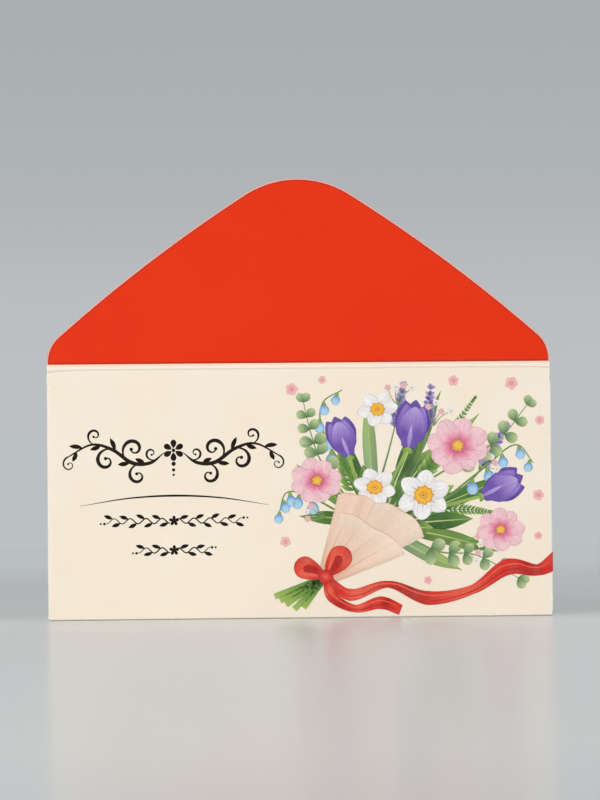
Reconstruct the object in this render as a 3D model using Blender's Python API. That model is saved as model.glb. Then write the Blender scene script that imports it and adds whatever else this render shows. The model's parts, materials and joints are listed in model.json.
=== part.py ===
# Money envelope: one die-cut sheet of coated card, scored, folded and glued into a flat pocket.
# Metres, +Z up. The printed front faces -Y, and the envelope is upright, with its flap open.
# The origin is on the back of the pocket panel, low in the middle, where the upright envelope is held.
# The flap folds back over the pocket panel on two parallel scores.

import math

import bpy
from mathutils import Vector

for old_object in list(bpy.data.objects):
    bpy.data.objects.remove(old_object, do_unlink=True)

# Card
CARD_THICKNESS = 0.00035
CREASE_GAP = 0.0003  # slit that stands for a score line, between the two panels that meet there
HOLD_HEIGHT = 0.011  # from the bottom fold up to the place where the pocket panel is held

# Front and flap
ENVELOPE_WIDTH = 0.165  # over the two side folds
FREE_EDGE_INSET = 0.0003  # a cut edge stands this far inside the side folds
PANEL_HEIGHT = 0.0818  # from the bottom fold to the lower score
SPINE_HEIGHT = 0.002  # from the lower score to the upper one
FLAP_HEIGHT = 0.06  # from the upper score to the tip
FLAP_TIP_RADIUS = 0.032
FLAP_SIDE_RADIUS = 0.5  # the long sides of the flap bow out a little
FLAP_CORNER_RADIUS = 0.011
FLAP_SHOULDER = 0.0005  # upright stretch of the flap's edge, just above the upper score

# Pocket panel
FLAP_CLEARANCE = 0.0003  # from the pocket panel to the closed flap
POCKET_DROP = 0.0045  # from the lower score down to the pocket's mouth
POCKET_INSET = 0.0004  # the pocket panel stands this far inside the side folds
POCKET_CORNER_RADIUS = 0.003
BOTTOM_BEND_RADIUS = 0.0007  # outside of the two tight bends of the bottom fold
NOTCH_DEPTH = 0.008  # thumb notch in the middle of the mouth
NOTCH_RADIUS = 0.03
NOTCH_LIP_RADIUS = 0.005

# Glue tabs
TAB_WIDTH = 0.013
TAB_TAPER = 0.008  # how much each end of a tab slopes in, from its fold to its free edge
TAB_CORNER_RADIUS = 0.0015
TAB_DROP = 0.0049  # from the lower score down to the top of the side folds
TAB_LIFT = 0.001  # from the bottom fold up to the foot of the side folds

# Glue lines
GLUE_THICKNESS = 0.0001
GLUE_CLEARANCE = 0.00005  # from the glue to the card on each side of it
GLUE_WIDTH = 0.005
GLUE_MARGIN = 0.002  # from the ends of the tab's free edge to the ends of the glue

# Points on the round stretches
TIP_STEPS = 14
SIDE_STEPS = 6
CORNER_STEPS = 10
BEND_STEPS = 6
GLUE_END_STEPS = 10
FILLET_STEPS = 6
NOTCH_STEPS = 10

# Finishes: linear colour and roughness
CREAM_PRINT = ((0.88, 0.78, 0.65, 1), 0.38)
RED_PRINT = ((0.77, 0.045, 0.014, 1), 0.36)
BARE_CARD = ((0.86, 0.85, 0.82, 1), 0.75)
DRY_GLUE = ((0.80, 0.77, 0.66, 1), 0.45)

# Places through the thickness, with the back of the pocket panel at Y = 0
pocket_face = 0
pocket_inner = pocket_face - CARD_THICKNESS
front_face = pocket_face - (CARD_THICKNESS + SPINE_HEIGHT - FLAP_CLEARANCE)
front_inner = front_face + CARD_THICKNESS
tab_face = pocket_inner - GLUE_THICKNESS - 2 * GLUE_CLEARANCE

side_radius = (tab_face - front_face) / 2  # outside of the side folds

# Places across the envelope, and up from the bottom fold
half_width = ENVELOPE_WIDTH / 2
free_edge = half_width - FREE_EDGE_INSET
pocket_edge = half_width - POCKET_INSET
side_edge = half_width - side_radius - CREASE_GAP
panel_foot = BOTTOM_BEND_RADIUS + CREASE_GAP
panel_top = PANEL_HEIGHT - CREASE_GAP / 2
fold_foot = BOTTOM_BEND_RADIUS + TAB_LIFT
fold_top = PANEL_HEIGHT - TAB_DROP
pocket_top = PANEL_HEIGHT - POCKET_DROP

envelope_parts = bpy.data.collections.new("money_envelope")
bpy.context.scene.collection.children.link(envelope_parts)

foot = bpy.data.objects.new("foot", None)
foot.empty_display_size = HOLD_HEIGHT
foot.location = (0, 0, -HOLD_HEIGHT)
envelope_parts.objects.link(foot)


def arc_points(centre, radius, start, end, steps):
    """Points on an arc, with its ends. Angles are in radians, counted from the first axis."""
    points = []
    for step in range(steps + 1):
        angle = start + (end - start) * step / steps
        points.append((centre[0] + radius * math.cos(angle), centre[1] + radius * math.sin(angle)))
    return points


def rounded(corners):
    """Outline through corners of (across, up, radius), with a tangent fillet at each radius over zero."""
    outline = []
    for index, (across, up, radius) in enumerate(corners):
        corner = Vector((across, up))
        before = (Vector(corners[index - 1][:2]) - corner).normalized()
        after = (Vector(corners[(index + 1) % len(corners)][:2]) - corner).normalized()
        if radius == 0:
            outline.append((across, up))
            continue
        half_angle = math.acos(before.dot(after)) / 2
        centre = corner + (before + after).normalized() * radius / math.sin(half_angle)
        start = corner + before * radius / math.tan(half_angle) - centre
        end = corner + after * radius / math.tan(half_angle) - centre
        start_angle = math.atan2(start.y, start.x)
        sweep = math.atan2(start.x * end.y - start.y * end.x, start.dot(end))
        outline += arc_points(centre, radius, start_angle, start_angle + sweep, FILLET_STEPS)
    return outline


def without_repeats(outline):
    """Two arcs about one centre share the point where they meet, and it is kept once."""
    return [point for index, point in enumerate(outline) if point != outline[index - 1]]


def mirrored(half_outline):
    """Closed outline from its right half, which runs from the middle line down to the lowest edge."""
    left_half = [(-across, up) for across, up in reversed(half_outline) if across != 0]
    return half_outline + left_half


def add_part(name, data, finish, parent):
    colour, roughness = finish
    material = bpy.data.materials.new(name + "_finish")
    material.use_nodes = True
    shader = material.node_tree.nodes["Principled BSDF"]
    shader.inputs["Base Color"].default_value = colour
    shader.inputs["Roughness"].default_value = roughness
    shader.inputs["Metallic"].default_value = 0
    data.materials.append(material)
    part = bpy.data.objects.new(name, data)
    part.parent = parent
    envelope_parts.objects.link(part)
    return part


def profile_part(name, outline, depth, finish, parent=foot):
    """Solid of one flat outline, half of its depth to each side of the outline's plane."""
    curve = bpy.data.curves.new(name, "CURVE")
    curve.dimensions = "2D"
    curve.fill_mode = "BOTH"
    curve.extrude = depth / 2
    spline = curve.splines.new("POLY")
    spline.points.add(len(outline) - 1)
    for point, (across, up) in zip(spline.points, outline):
        point.co = (across, up, 0, 1)
    spline.use_cyclic_u = True
    return add_part(name, curve, finish, parent)


def upright_panel(name, outline, rear_face, finish, parent=foot, thickness=CARD_THICKNESS):
    """Panel that stands in a plane across Y, with its back at rear_face."""
    panel = profile_part(name, outline, thickness, finish, parent)
    panel.rotation_euler = (math.pi / 2, 0, 0)
    panel.location = (0, rear_face - thickness / 2, 0)
    return panel


def score_axis(name, place, parent=foot):
    axis = bpy.data.objects.new(name, None)
    axis.empty_display_size = SPINE_HEIGHT
    axis.location = place
    axis.parent = parent
    envelope_parts.objects.link(axis)
    return axis


def front_outline():
    """The front panel is wider where its sides are cut edges than where the side folds begin."""
    right_half = [
        (0, panel_top),
        (free_edge, panel_top),
        (free_edge, fold_top + CREASE_GAP),
        (side_edge, fold_top + CREASE_GAP),
        (side_edge, fold_foot - CREASE_GAP),
        (free_edge, fold_foot - CREASE_GAP),
        (free_edge, panel_foot),
    ]
    return mirrored(right_half)


def flap_outline():
    """Tip, long side and corner are three arcs that run into each other without a kink.

    The slope at each join is where the chain of arcs reaches from the tip to the side edge.
    """
    side_less_tip = FLAP_SIDE_RADIUS - FLAP_TIP_RADIUS
    side_less_corner = FLAP_SIDE_RADIUS - FLAP_CORNER_RADIUS
    corner_centre = Vector((free_edge - FLAP_CORNER_RADIUS, FLAP_SHOULDER))
    tip_centre = Vector((0, FLAP_HEIGHT - FLAP_TIP_RADIUS))
    span = corner_centre - tip_centre
    along = (side_less_corner ** 2 + span.length ** 2 - side_less_tip ** 2) / (2 * span.length)
    away = math.sqrt(side_less_corner ** 2 - along ** 2)
    forward = span.normalized()
    side_centre = corner_centre - forward * along + Vector((forward.y, -forward.x)) * away
    to_tip = tip_centre - side_centre
    to_corner = corner_centre - side_centre
    tip_end = math.atan2(to_tip.y, to_tip.x)
    side_end = math.atan2(to_corner.y, to_corner.x)
    tip = arc_points(tip_centre, FLAP_TIP_RADIUS, math.pi / 2, tip_end, TIP_STEPS)
    side = arc_points(side_centre, FLAP_SIDE_RADIUS, tip_end, side_end, SIDE_STEPS)
    corner = arc_points(corner_centre, FLAP_CORNER_RADIUS, side_end, 0, CORNER_STEPS)
    tip[0] = (0, FLAP_HEIGHT)
    return mirrored(tip + side[1:] + corner[1:] + [(free_edge, CREASE_GAP / 2)])


def pocket_outline():
    """The mouth has round corners, and a thumb notch whose lips run smoothly into it."""
    notch_centre = Vector((0, pocket_top - NOTCH_DEPTH + NOTCH_RADIUS))
    lip_drop = notch_centre.y - (pocket_top - NOTCH_LIP_RADIUS)
    lip_across = math.sqrt((NOTCH_RADIUS + NOTCH_LIP_RADIUS) ** 2 - lip_drop ** 2)
    lip_centre = Vector((lip_across, pocket_top - NOTCH_LIP_RADIUS))
    join = math.atan2(-lip_drop, lip_across)
    notch = arc_points(notch_centre, NOTCH_RADIUS, -math.pi / 2, join, NOTCH_STEPS)
    lip = arc_points(lip_centre, NOTCH_LIP_RADIUS, join + math.pi, math.pi / 2, FILLET_STEPS)
    mouth_centre = (pocket_edge - POCKET_CORNER_RADIUS, pocket_top - POCKET_CORNER_RADIUS)
    mouth_corner = arc_points(mouth_centre, POCKET_CORNER_RADIUS, math.pi / 2, 0, FILLET_STEPS)
    notch[0] = (0, pocket_top - NOTCH_DEPTH)
    return mirrored(notch + lip[1:] + mouth_corner + [(pocket_edge, panel_foot)])


def tab_outline(side):
    """Tab with tapered ends. Side is 1 for the right tab and -1 for the left one."""
    free_side = side_edge - TAB_WIDTH
    corners = [
        (side * side_edge, fold_top, 0),
        (side * free_side, fold_top - TAB_TAPER, TAB_CORNER_RADIUS),
        (side * free_side, fold_foot + TAB_TAPER, TAB_CORNER_RADIUS),
        (side * side_edge, fold_foot, 0),
    ]
    return rounded(corners)


def glue_outline(side):
    """Line of glue down the middle of a tab, with round ends."""
    middle = side * (side_edge - TAB_WIDTH / 2)
    low_end = fold_foot + TAB_TAPER + GLUE_MARGIN
    high_end = fold_top - TAB_TAPER - GLUE_MARGIN
    radius = GLUE_WIDTH / 2
    upper_arc = arc_points((middle, high_end - radius), radius, 0, math.pi, GLUE_END_STEPS)
    lower_arc = arc_points((middle, low_end + radius), radius, math.pi, 2 * math.pi, GLUE_END_STEPS)
    return upper_arc + lower_arc


def bend_outline(first_centre, last_centre, radius, start):
    """Section of card bent through half a turn, in two quarter bends with the same outside radius."""
    middle = start + math.pi / 2
    end = start + math.pi
    inner_radius = radius - CARD_THICKNESS
    outside = arc_points(first_centre, radius, start, middle, BEND_STEPS)
    outside += arc_points(last_centre, radius, middle, end, BEND_STEPS)
    inside = arc_points(last_centre, inner_radius, end, middle, BEND_STEPS)
    inside += arc_points(first_centre, inner_radius, middle, start, BEND_STEPS)
    return without_repeats(outside + inside)


def add_side(name, side):
    """Fold, tab and glue of one side."""
    middle = (side * (half_width - side_radius), (front_face + tab_face) / 2)
    section = bend_outline(middle, middle, side_radius, -side * math.pi / 2)
    fold = profile_part(name + "_side_fold", section, fold_top - fold_foot, CREAM_PRINT)
    fold.location = (0, 0, (fold_top + fold_foot) / 2)
    upright_panel(name + "_glue_tab", tab_outline(side), tab_face, BARE_CARD)
    glue_face = pocket_inner - GLUE_CLEARANCE
    upright_panel(name + "_glue_line", glue_outline(side), glue_face, DRY_GLUE, thickness=GLUE_THICKNESS)


def add_bottom_fold():
    """Two tight bends with a narrow flat between them, the foot of the upright envelope."""
    front_centre = (front_face + BOTTOM_BEND_RADIUS, BOTTOM_BEND_RADIUS)
    rear_centre = (pocket_face - BOTTOM_BEND_RADIUS, BOTTOM_BEND_RADIUS)
    section = bend_outline(front_centre, rear_centre, BOTTOM_BEND_RADIUS, math.pi)
    fold = profile_part("bottom_fold", section, 2 * pocket_edge, CREAM_PRINT)
    fold.rotation_euler = (math.pi / 2, 0, math.pi / 2)


def add_flap():
    """The spine turns on the lower score, and carries the flap, which turns on the upper one."""
    lower_axis = score_axis("lower_score_axis", (0, front_inner, PANEL_HEIGHT))
    upper_axis = score_axis("upper_score_axis", (0, 0, SPINE_HEIGHT), lower_axis)
    spine_corners = [
        (free_edge, SPINE_HEIGHT - CREASE_GAP / 2),
        (free_edge, CREASE_GAP / 2),
        (-free_edge, CREASE_GAP / 2),
        (-free_edge, SPINE_HEIGHT - CREASE_GAP / 2),
    ]
    upright_panel("flap_spine", spine_corners, 0, CREAM_PRINT, lower_axis)
    upright_panel("flap", flap_outline(), 0, RED_PRINT, upper_axis)


upright_panel("front_panel", front_outline(), front_inner, CREAM_PRINT)
add_side("left", -1)
add_side("right", 1)
add_bottom_fold()
upright_panel("pocket_panel", pocket_outline(), pocket_face, CREAM_PRINT)
add_flap()
bpy.context.view_layer.update()
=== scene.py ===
import json
import math
import random

import bmesh
import bpy
import numpy as np
from mathutils import Euler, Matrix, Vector
from mathutils.kdtree import KDTree


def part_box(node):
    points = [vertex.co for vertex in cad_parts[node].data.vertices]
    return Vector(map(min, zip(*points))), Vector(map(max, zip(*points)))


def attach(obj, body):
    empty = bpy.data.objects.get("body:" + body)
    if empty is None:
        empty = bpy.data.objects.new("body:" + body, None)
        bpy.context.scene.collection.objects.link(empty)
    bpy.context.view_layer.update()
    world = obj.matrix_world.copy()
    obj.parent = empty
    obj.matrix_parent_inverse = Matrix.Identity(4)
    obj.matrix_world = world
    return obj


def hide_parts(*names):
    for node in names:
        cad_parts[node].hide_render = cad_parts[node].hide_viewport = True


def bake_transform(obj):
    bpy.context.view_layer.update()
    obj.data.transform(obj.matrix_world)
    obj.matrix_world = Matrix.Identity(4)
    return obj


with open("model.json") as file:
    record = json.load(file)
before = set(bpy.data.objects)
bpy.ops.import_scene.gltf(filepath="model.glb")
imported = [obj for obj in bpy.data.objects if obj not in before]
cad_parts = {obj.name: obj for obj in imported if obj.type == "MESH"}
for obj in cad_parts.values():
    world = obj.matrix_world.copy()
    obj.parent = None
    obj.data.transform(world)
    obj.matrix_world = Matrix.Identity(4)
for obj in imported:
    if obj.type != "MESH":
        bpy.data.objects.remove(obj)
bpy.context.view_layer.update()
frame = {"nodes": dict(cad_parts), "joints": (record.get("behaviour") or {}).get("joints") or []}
scene = bpy.context.scene

# Places that every piece is worked out from
panelLow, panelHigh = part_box("front_panel")
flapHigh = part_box("flap")[1]
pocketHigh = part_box("pocket_panel")[1]
footLow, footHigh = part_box("bottom_fold")
sideLow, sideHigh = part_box("right_side_fold")
tabLow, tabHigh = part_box("right_glue_tab")
joints = {joint["name"]: joint for joint in frame["joints"]}
lowerScore = joints["lower_score_fold"]["pos_m"][2]
upperScore = joints["upper_score_fold"]["pos_m"][2]
middleOfSpine = (lowerScore + upperScore) / 2
tableTop = footLow.z
frontFace = panelLow.y
cardThickness = panelHigh.y - panelLow.y
freeEdge = panelHigh.x
sideRadius = (tabHigh.y - frontFace) / 2
sideStart = sideHigh.x - sideRadius  # the front panel ends here and the side fold begins
foldDepth = (frontFace + tabHigh.y) / 2  # middle of the side folds, front to back
bendRadius = footHigh.z - footLow.z
near = 0.00002  # places closer together than this are one place
print("Frame read: card", round(cardThickness * 1000, 3), "mm thick")


def linear(red, green, blue):
    # colour of a paint chip, 0 to 255 a channel, as the shader wants it
    shares = [value / 255 for value in (red, green, blue)]
    return [s / 12.92 if s <= 0.04045 else ((s + 0.055) / 1.055) ** 2.4 for s in shares] + [1]


def smooth(value):
    value = np.clip(value, 0, 1)
    return value * value * (3 - 2 * value)


def bell(distance, width):
    return math.exp(-(distance / width) ** 2)


def evenSteps(low, high, count):
    return [low + (high - low) * index / count for index in range(count + 1)]


def arcPlaces(centre, radius, start, sweep, steps, outward=1):
    # (across, up, outward across, outward up) along an arc, with both its ends
    places = []
    for angle in [start + sweep * step / steps for step in range(steps + 1)]:
        x, y = math.cos(angle), math.sin(angle)
        places.append((centre[0] + radius * x, centre[1] + radius * y, outward * x, outward * y))
    return places


# Materials

def addNode(tree, kind, inputs):
    # one node, with its inputs linked to a socket or set to a value
    node = tree.nodes.new("ShaderNode" + kind)
    for name, value in inputs.items():
        if isinstance(value, bpy.types.NodeSocket):
            tree.links.new(value, node.inputs[name])
        else:
            node.inputs[name].default_value = value
    return node


def newMaterial(name, look):
    material = bpy.data.materials.new(name)
    material.use_nodes = True
    shader = material.node_tree.nodes["Principled BSDF"]
    shader.inputs["Roughness"].default_value = look["roughness"]
    shader.inputs["Specular IOR Level"].default_value = look["specular"]
    return material, material.node_tree, shader


def addAttribute(tree, name, output):
    attribute = addNode(tree, "Attribute", {})
    attribute.attribute_name = name
    return attribute.outputs[output]


def addNoise(tree, vector, scale, detail=2, rough=0.5):
    inputs = {"Vector": vector, "Scale": scale, "Detail": detail, "Roughness": rough}
    return addNode(tree, "TexNoise", inputs).outputs["Fac"]


def addRange(tree, value, low, high):
    # noise sits mostly between 0.3 and 0.7
    inputs = {"Value": value, "From Min": 0.3, "From Max": 0.7, "To Min": low, "To Max": high}
    return addNode(tree, "MapRange", inputs).outputs["Result"]


def addMix(tree, share, first, second, blend="MIX"):
    mix = tree.nodes.new("ShaderNodeMix")
    mix.data_type = "RGBA"
    mix.blend_type = blend
    for socket, value in (("Factor", share), ("A", first), ("B", second)):
        target = next(s for s in mix.inputs if s.name == socket and s.enabled)
        if isinstance(value, bpy.types.NodeSocket):
            tree.links.new(value, target)
        else:
            target.default_value = value
    return next(s for s in mix.outputs if s.enabled)


def addMath(tree, operation, *values):
    maths = addNode(tree, "Math", dict(enumerate(values)))
    maths.operation = operation
    return maths.outputs["Value"]


def addBump(tree, shader, height, depth):
    bump = addNode(tree, "Bump", {"Height": height, "Distance": depth})
    tree.links.new(bump.outputs["Normal"], shader.inputs["Normal"])


# detail and roughness of the noise
cardNoise = {"blotch": (3, 0.5), "grain": (3, 0.65), "rub": (3, 0.7), "fibre": (4, 0.6)}


def cardMaterial(name, look):
    # coated or bare card: slow blotches in the ink, a fine grain, and a bump of fibres under the film.
    # The sheet's own marks say where it is rubbed pale with a painted highlight (red), darkened with
    # painted shade, and pressed darker beside the flap's cut (green), or tinted towards the red (blue).
    material, tree, shader = newMaterial(name, look)
    place = addAttribute(tree, "place", "Vector")
    marks = addNode(tree, "SeparateColor", {"Color": addAttribute(tree, "marks", "Color")}).outputs
    blotch, grain, rub, fibre = [addNoise(tree, place, look[kind + "Scale"], *cardNoise[kind])
                                 for kind in ("blotch", "grain", "rub", "fibre")]
    colour = addMix(tree, addRange(tree, blotch, 0, 1), look["colour"], look["shade"])
    colour = addMix(tree, addRange(tree, grain, 0, look["grain"]), colour, look["speck"])
    colour = addMix(tree, marks["Blue"], colour, look["tinted"])
    colour = addMix(tree, marks["Green"], colour, look["scored"])
    rubbed = addMath(tree, "MULTIPLY", marks["Red"], addRange(tree, rub, look["rubLeast"], 1))
    colour = addMix(tree, rubbed, colour, look["rubbed"])
    tree.links.new(colour, shader.inputs["Base Color"])
    # a rubbed fold is burnished: smoother and glossier than the sheet
    low, high = look["roughness"] - look["sheen"], look["roughness"] + look["sheen"]
    rough = addRange(tree, grain, low, high)
    rough = addMath(tree, "MULTIPLY_ADD", marks["Red"], -look["burnish"], rough)
    tree.links.new(rough, shader.inputs["Roughness"])
    gloss = addMath(tree, "MULTIPLY_ADD", marks["Red"], look["burnishGloss"], look["specular"])
    tree.links.new(gloss, shader.inputs["Specular IOR Level"])
    addBump(tree, shader, fibre, look["fibreDepth"])
    return material


# each look's dark mark colour paints shade in the groove, at the dip, on the flap's lower corners and under
# the bottom bends, and the pressed line beside the flap's cut; its pale rub colour also paints the
# highlight on folds and the ridge
creamLook = {
    "colour": linear(245, 233, 215), "shade": linear(243, 229, 209), "speck": linear(233, 218, 196),
    "scored": linear(176, 164, 148), "rubbed": linear(250, 248, 240), "tinted": linear(255, 215, 190),
    "roughness": 0.42, "specular": 0.3, "sheen": 0.05, "burnish": 0.18, "burnishGloss": 0.45,
    "blotchScale": 38, "grainScale": 2600, "grain": 0.08, "rubScale": 420, "rubLeast": 0.5,
    "fibreScale": 1500, "fibreDepth": 0.000004,
}
redLook = {
    "colour": linear(230, 51, 9), "shade": linear(226, 44, 6), "speck": linear(237, 76, 29),
    "scored": linear(152, 40, 22), "rubbed": linear(250, 170, 148), "tinted": linear(226, 34, 14),
    "roughness": 0.42, "specular": 0.13, "sheen": 0.05, "burnish": 0.1, "burnishGloss": 0.2,
    "blotchScale": 30, "grainScale": 2400, "grain": 0.1, "rubScale": 420, "rubLeast": 0.2,
    "fibreScale": 1400, "fibreDepth": 0.000004,
}
bareLook = {
    "colour": linear(240, 238, 232), "shade": linear(234, 231, 224), "speck": linear(214, 209, 200),
    "scored": linear(206, 202, 194), "rubbed": linear(246, 245, 241), "tinted": linear(244, 232, 224),
    "roughness": 0.82, "specular": 0.2, "sheen": 0.06, "burnish": 0.1, "burnishGloss": 0.1,
    "blotchScale": 55, "grainScale": 1500, "grain": 0.22, "rubScale": 300, "rubLeast": 0.5,
    "fibreScale": 1100, "fibreDepth": 0.00001,
}
coreLook = dict(bareLook, colour=linear(253, 249, 240), shade=linear(249, 243, 232),
                speck=linear(236, 228, 214), grainScale=3000)
redCoreLook = dict(coreLook, scored=linear(232, 150, 130), tinted=linear(250, 170, 156))
creamCard = cardMaterial("creamCard", creamLook)
redCard = cardMaterial("redCard", redLook)
bareCard = cardMaterial("bareCard", bareLook)
cardCore = cardMaterial("cardCore", coreLook)
redCore = cardMaterial("redCore", redCoreLook)
cardSlots = [creamCard, redCard, bareCard, bareCard, cardCore, redCore]
creamPrint, redPrint, innerOffset, rimOffset, creamCut, redCut = 0, 1, 2, 4, 4, 5  # places in cardSlots


def glueMaterial():
    look = {"colour": linear(236, 226, 196), "shade": linear(214, 200, 160), "roughness": 0.3,
            "specular": 0.5, "blobScale": 700, "blobDepth": 0.00004}
    material, tree, shader = newMaterial("dryGlue", look)
    place = addNode(tree, "TexCoord", {}).outputs["Object"]
    blobs = addNoise(tree, place, look["blobScale"])
    colour = addMix(tree, addRange(tree, blobs, 0, 1), look["colour"], look["shade"])
    tree.links.new(colour, shader.inputs["Base Color"])
    addBump(tree, shader, blobs, look["blobDepth"])
    return material


def inkMaterial(name, look):
    # printed picture: the ink comes with the mesh, and the wash adds streaks, granules and pale blooms
    material, tree, shader = newMaterial(name, look)
    place = addNode(tree, "TexCoord", {}).outputs["Object"]
    run = {"Vector": addAttribute(tree, "run", "Vector"), "Scale": look["streakScale"]}
    streak = addNoise(tree, addNode(tree, "Mapping", run).outputs["Vector"], 1)
    granule = addNoise(tree, place, look["granuleScale"], 3, 0.6)
    wash = addNoise(tree, place, look["washScale"])
    colour = addAttribute(tree, "ink", "Color")
    colour = addMix(tree, addRange(tree, streak, 0, look["streak"]), colour, look["deep"], "MULTIPLY")
    colour = addMix(tree, addRange(tree, wash, 0, look["wash"]), colour, look["pale"], "SCREEN")
    colour = addMix(tree, addRange(tree, granule, 0, look["granule"]), colour, look["deep"], "MULTIPLY")
    tree.links.new(colour, shader.inputs["Base Color"])
    fibre = addNoise(tree, place, creamLook["fibreScale"], *cardNoise["fibre"])
    addBump(tree, shader, fibre, creamLook["fibreDepth"])
    return material


washLook = {
    "streakScale": (1.6, 7, 9), "streak": 0.38, "granuleScale": 1900, "granule": 0.2, "washScale": 260,
    "wash": 0.16, "deep": linear(188, 176, 182), "pale": linear(140, 132, 124), "specular": 0.26,
    "roughness": creamLook["roughness"],
}
penLook = dict(washLook, streak=0.15, wash=0.06, pale=linear(70, 58, 46), specular=0.1)
watercolour = inkMaterial("watercolour", washLook)
darkInk = inkMaterial("darkInk", penLook)
print("Materials made")


# Card sheets

# an edge with a bend over corner, in radians, is cut, and one over sharp, in degrees, is shaded sharp
sheetShape = {
    "weld": 0.000002, "hair": 0.000001, "round": 0.0001, "roundSteps": 3, "corner": 1.0, "sharp": 40,
}


def surfaceObject(name, rows, slotAt):
    # rows of points make the printed face; slotAt gives each patch of it a material slot
    mesh = bpy.data.meshes.new(name)
    work = bmesh.new()
    grid = [[work.verts.new(point) for point in row] for row in rows]
    for row in range(len(grid) - 1):
        for column in range(len(grid[0]) - 1):
            corners = grid[row][column:column + 2] + grid[row + 1][column:column + 2][::-1]
            work.faces.new(corners).material_index = slotAt(row, column)
    bmesh.ops.remove_doubles(work, verts=work.verts[:], dist=sheetShape["weld"])
    bmesh.ops.dissolve_degenerate(work, edges=work.edges[:], dist=sheetShape["hair"])
    work.to_mesh(mesh)
    work.free()
    piece = bpy.data.objects.new(name, mesh)
    scene.collection.objects.link(piece)
    for material in cardSlots:
        mesh.materials.append(material)
    return piece


def finishCard(piece, isSeam, cutSlot, markAt, cutRound=sheetShape["round"]):
    # gives the face its thickness, then rounds the cut edges and leaves the seams square
    solid = piece.modifiers.new("thickness", "SOLIDIFY")
    solid.thickness = cardThickness
    solid.offset = -1
    solid.use_even_offset = True
    solid.material_offset = innerOffset
    solid.material_offset_rim = rimOffset
    bpy.context.view_layer.update()
    evaluated = piece.evaluated_get(bpy.context.evaluated_depsgraph_get())
    mesh = bpy.data.meshes.new_from_object(evaluated)
    piece.modifiers.clear()
    piece.data = mesh
    work = bmesh.new()
    work.from_mesh(mesh)
    cut = [edge for edge in work.edges
           if edge.is_manifold and edge.calc_face_angle() > sheetShape["corner"]
           and not isSeam((edge.verts[0].co + edge.verts[1].co) / 2)]
    bmesh.ops.bevel(work, geom=cut, offset=cutRound, segments=sheetShape["roundSteps"], profile=0.5,
                    affect="EDGES", material=cutSlot, clamp_overlap=True)
    work.to_mesh(mesh)
    work.free()
    mesh.shade_smooth()
    mesh.set_sharp_from_angle(angle=math.radians(sheetShape["sharp"]))
    places = np.empty(len(mesh.vertices) * 3, np.float32)
    mesh.vertices.foreach_get("co", places)
    mesh.attributes.new("place", "FLOAT_VECTOR", "POINT").data.foreach_set("vector", places)
    shares = [[*markAt(*point), 1] for point in places.reshape(-1, 3)]
    mesh.attributes.new("marks", "FLOAT_COLOR", "POINT").data.foreach_set("color", np.ravel(shares))
    return piece


# the crease's pale line along the ridge is a painted highlight, and its dark lines in the groove and where
# the red begins are painted shade
creaseShape = {
    "ridge": 0.00011, "ridgeUp": 0.00018, "flankBelow": 0.00031, "dip": 0.00009, "flankAbove": 0.0004,
    "groove": 0.00006, "creased": 0.3, "grooveBelow": 0.00042, "grooveWidth": 0.0002, "spineBow": 1.7,
    "leftDroop": 0.0006, "rightDroop": 0.00025, "droopReach": 0.004, "endGroove": 1.3,
    "bulge": 0.00022, "flapCurl": 0.0004, "flapTwist": 0.00008,
    "redOverrun": 0.00036, "scoredRise": 0.00024, "scoredWidth": 0.0003, "scored": 0.72,
    "tintFall": 0.0008, "tint": 0.95, "crackRise": 0.0002, "crackWidth": 0.0003, "crack": 0.25,
}
cutShift = -0.00013  # the sheet is cut this far off the middle of its folds
redStart = upperScore - creaseShape["redOverrun"]  # the red print runs a little over the upper score
ridgeAt = lowerScore + creaseShape["ridgeUp"]


def creaseDroop(across):
    # the ridge runs down a little towards both ends
    droop = creaseShape["leftDroop" if across < 0 else "rightDroop"]
    return droop * math.exp((abs(across) - freeEdge) / creaseShape["droopReach"])


def creaseRise(across, height):
    # how far the printed face stands forward of its plane: up a short flank to the ridge on the lower
    # score, back across the spine into the dip on the upper score, and out again at the flap's foot
    shape = creaseShape
    droop = creaseDroop(across)
    ridge = ridgeAt - droop
    below = smooth((height - ridge) / shape["flankBelow"] + 1)
    share = min(max((height - ridge) / (upperScore - ridge), 0), 1)
    spine = 1 - (1 - share) ** shape["spineBow"]
    above = smooth((height - upperScore) / shape["flankAbove"])
    rise = shape["ridge"] * below - (shape["ridge"] + shape["dip"]) * spine + shape["dip"] * above
    groove = shape["groove"] * (1 + shape["endGroove"] * droop / shape["leftDroop"])
    return rise - groove * bell(height - ridge + shape["grooveBelow"], shape["grooveWidth"])


def creaseMarks(across, depth, height):
    # painted highlight: the print is paler along the ridge; painted shade: it is darker in the groove below
    # it and at the dip where the red begins; and the spine is tinted towards the red
    shape = creaseShape
    if depth > frontFace + cardThickness / 2 + max(height - upperScore, 0):
        return 0, 0, 0
    droop = creaseDroop(across)
    overRidge = height - ridgeAt + droop
    crack = shape["crack"] * bell(overRidge - shape["crackRise"], shape["crackWidth"])
    if height > redStart:
        scored = shape["scored"] * bell(height - redStart - shape["scoredRise"], shape["scoredWidth"])
    else:
        creased = shape["creased"] * (1 + shape["endGroove"] * droop / shape["leftDroop"])
        scored = min(creased, 1) * bell(overRidge + shape["grooveBelow"], shape["grooveWidth"])
    tint = shape["tint"] * bell(min(height - redStart, 0), shape["tintFall"])
    return crack, scored, tint if lowerScore < height <= redStart + sheetShape["hair"] else 0


def frontPlane(across, height):
    # the panel bows forward a little between its folds
    span = max(1 - (across / sideStart) ** 2, 0)
    up = min(max((height - tableTop) / (lowerScore - tableTop), 0), 1)
    return frontFace - creaseShape["bulge"] * span * math.sin(math.pi * up) - creaseRise(across, height)


def creaseRows(low, high, step):
    return evenSteps(low, high, max(2, round((high - low) / step)))


frontShape = {
    "columns": 56, "rows": 26, "fineRow": 0.00007, "fineBelow": 0.0019, "paleEdge": 0.00024,
    "slit": 0.00014, "leftLean": -0.00016,
}


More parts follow.
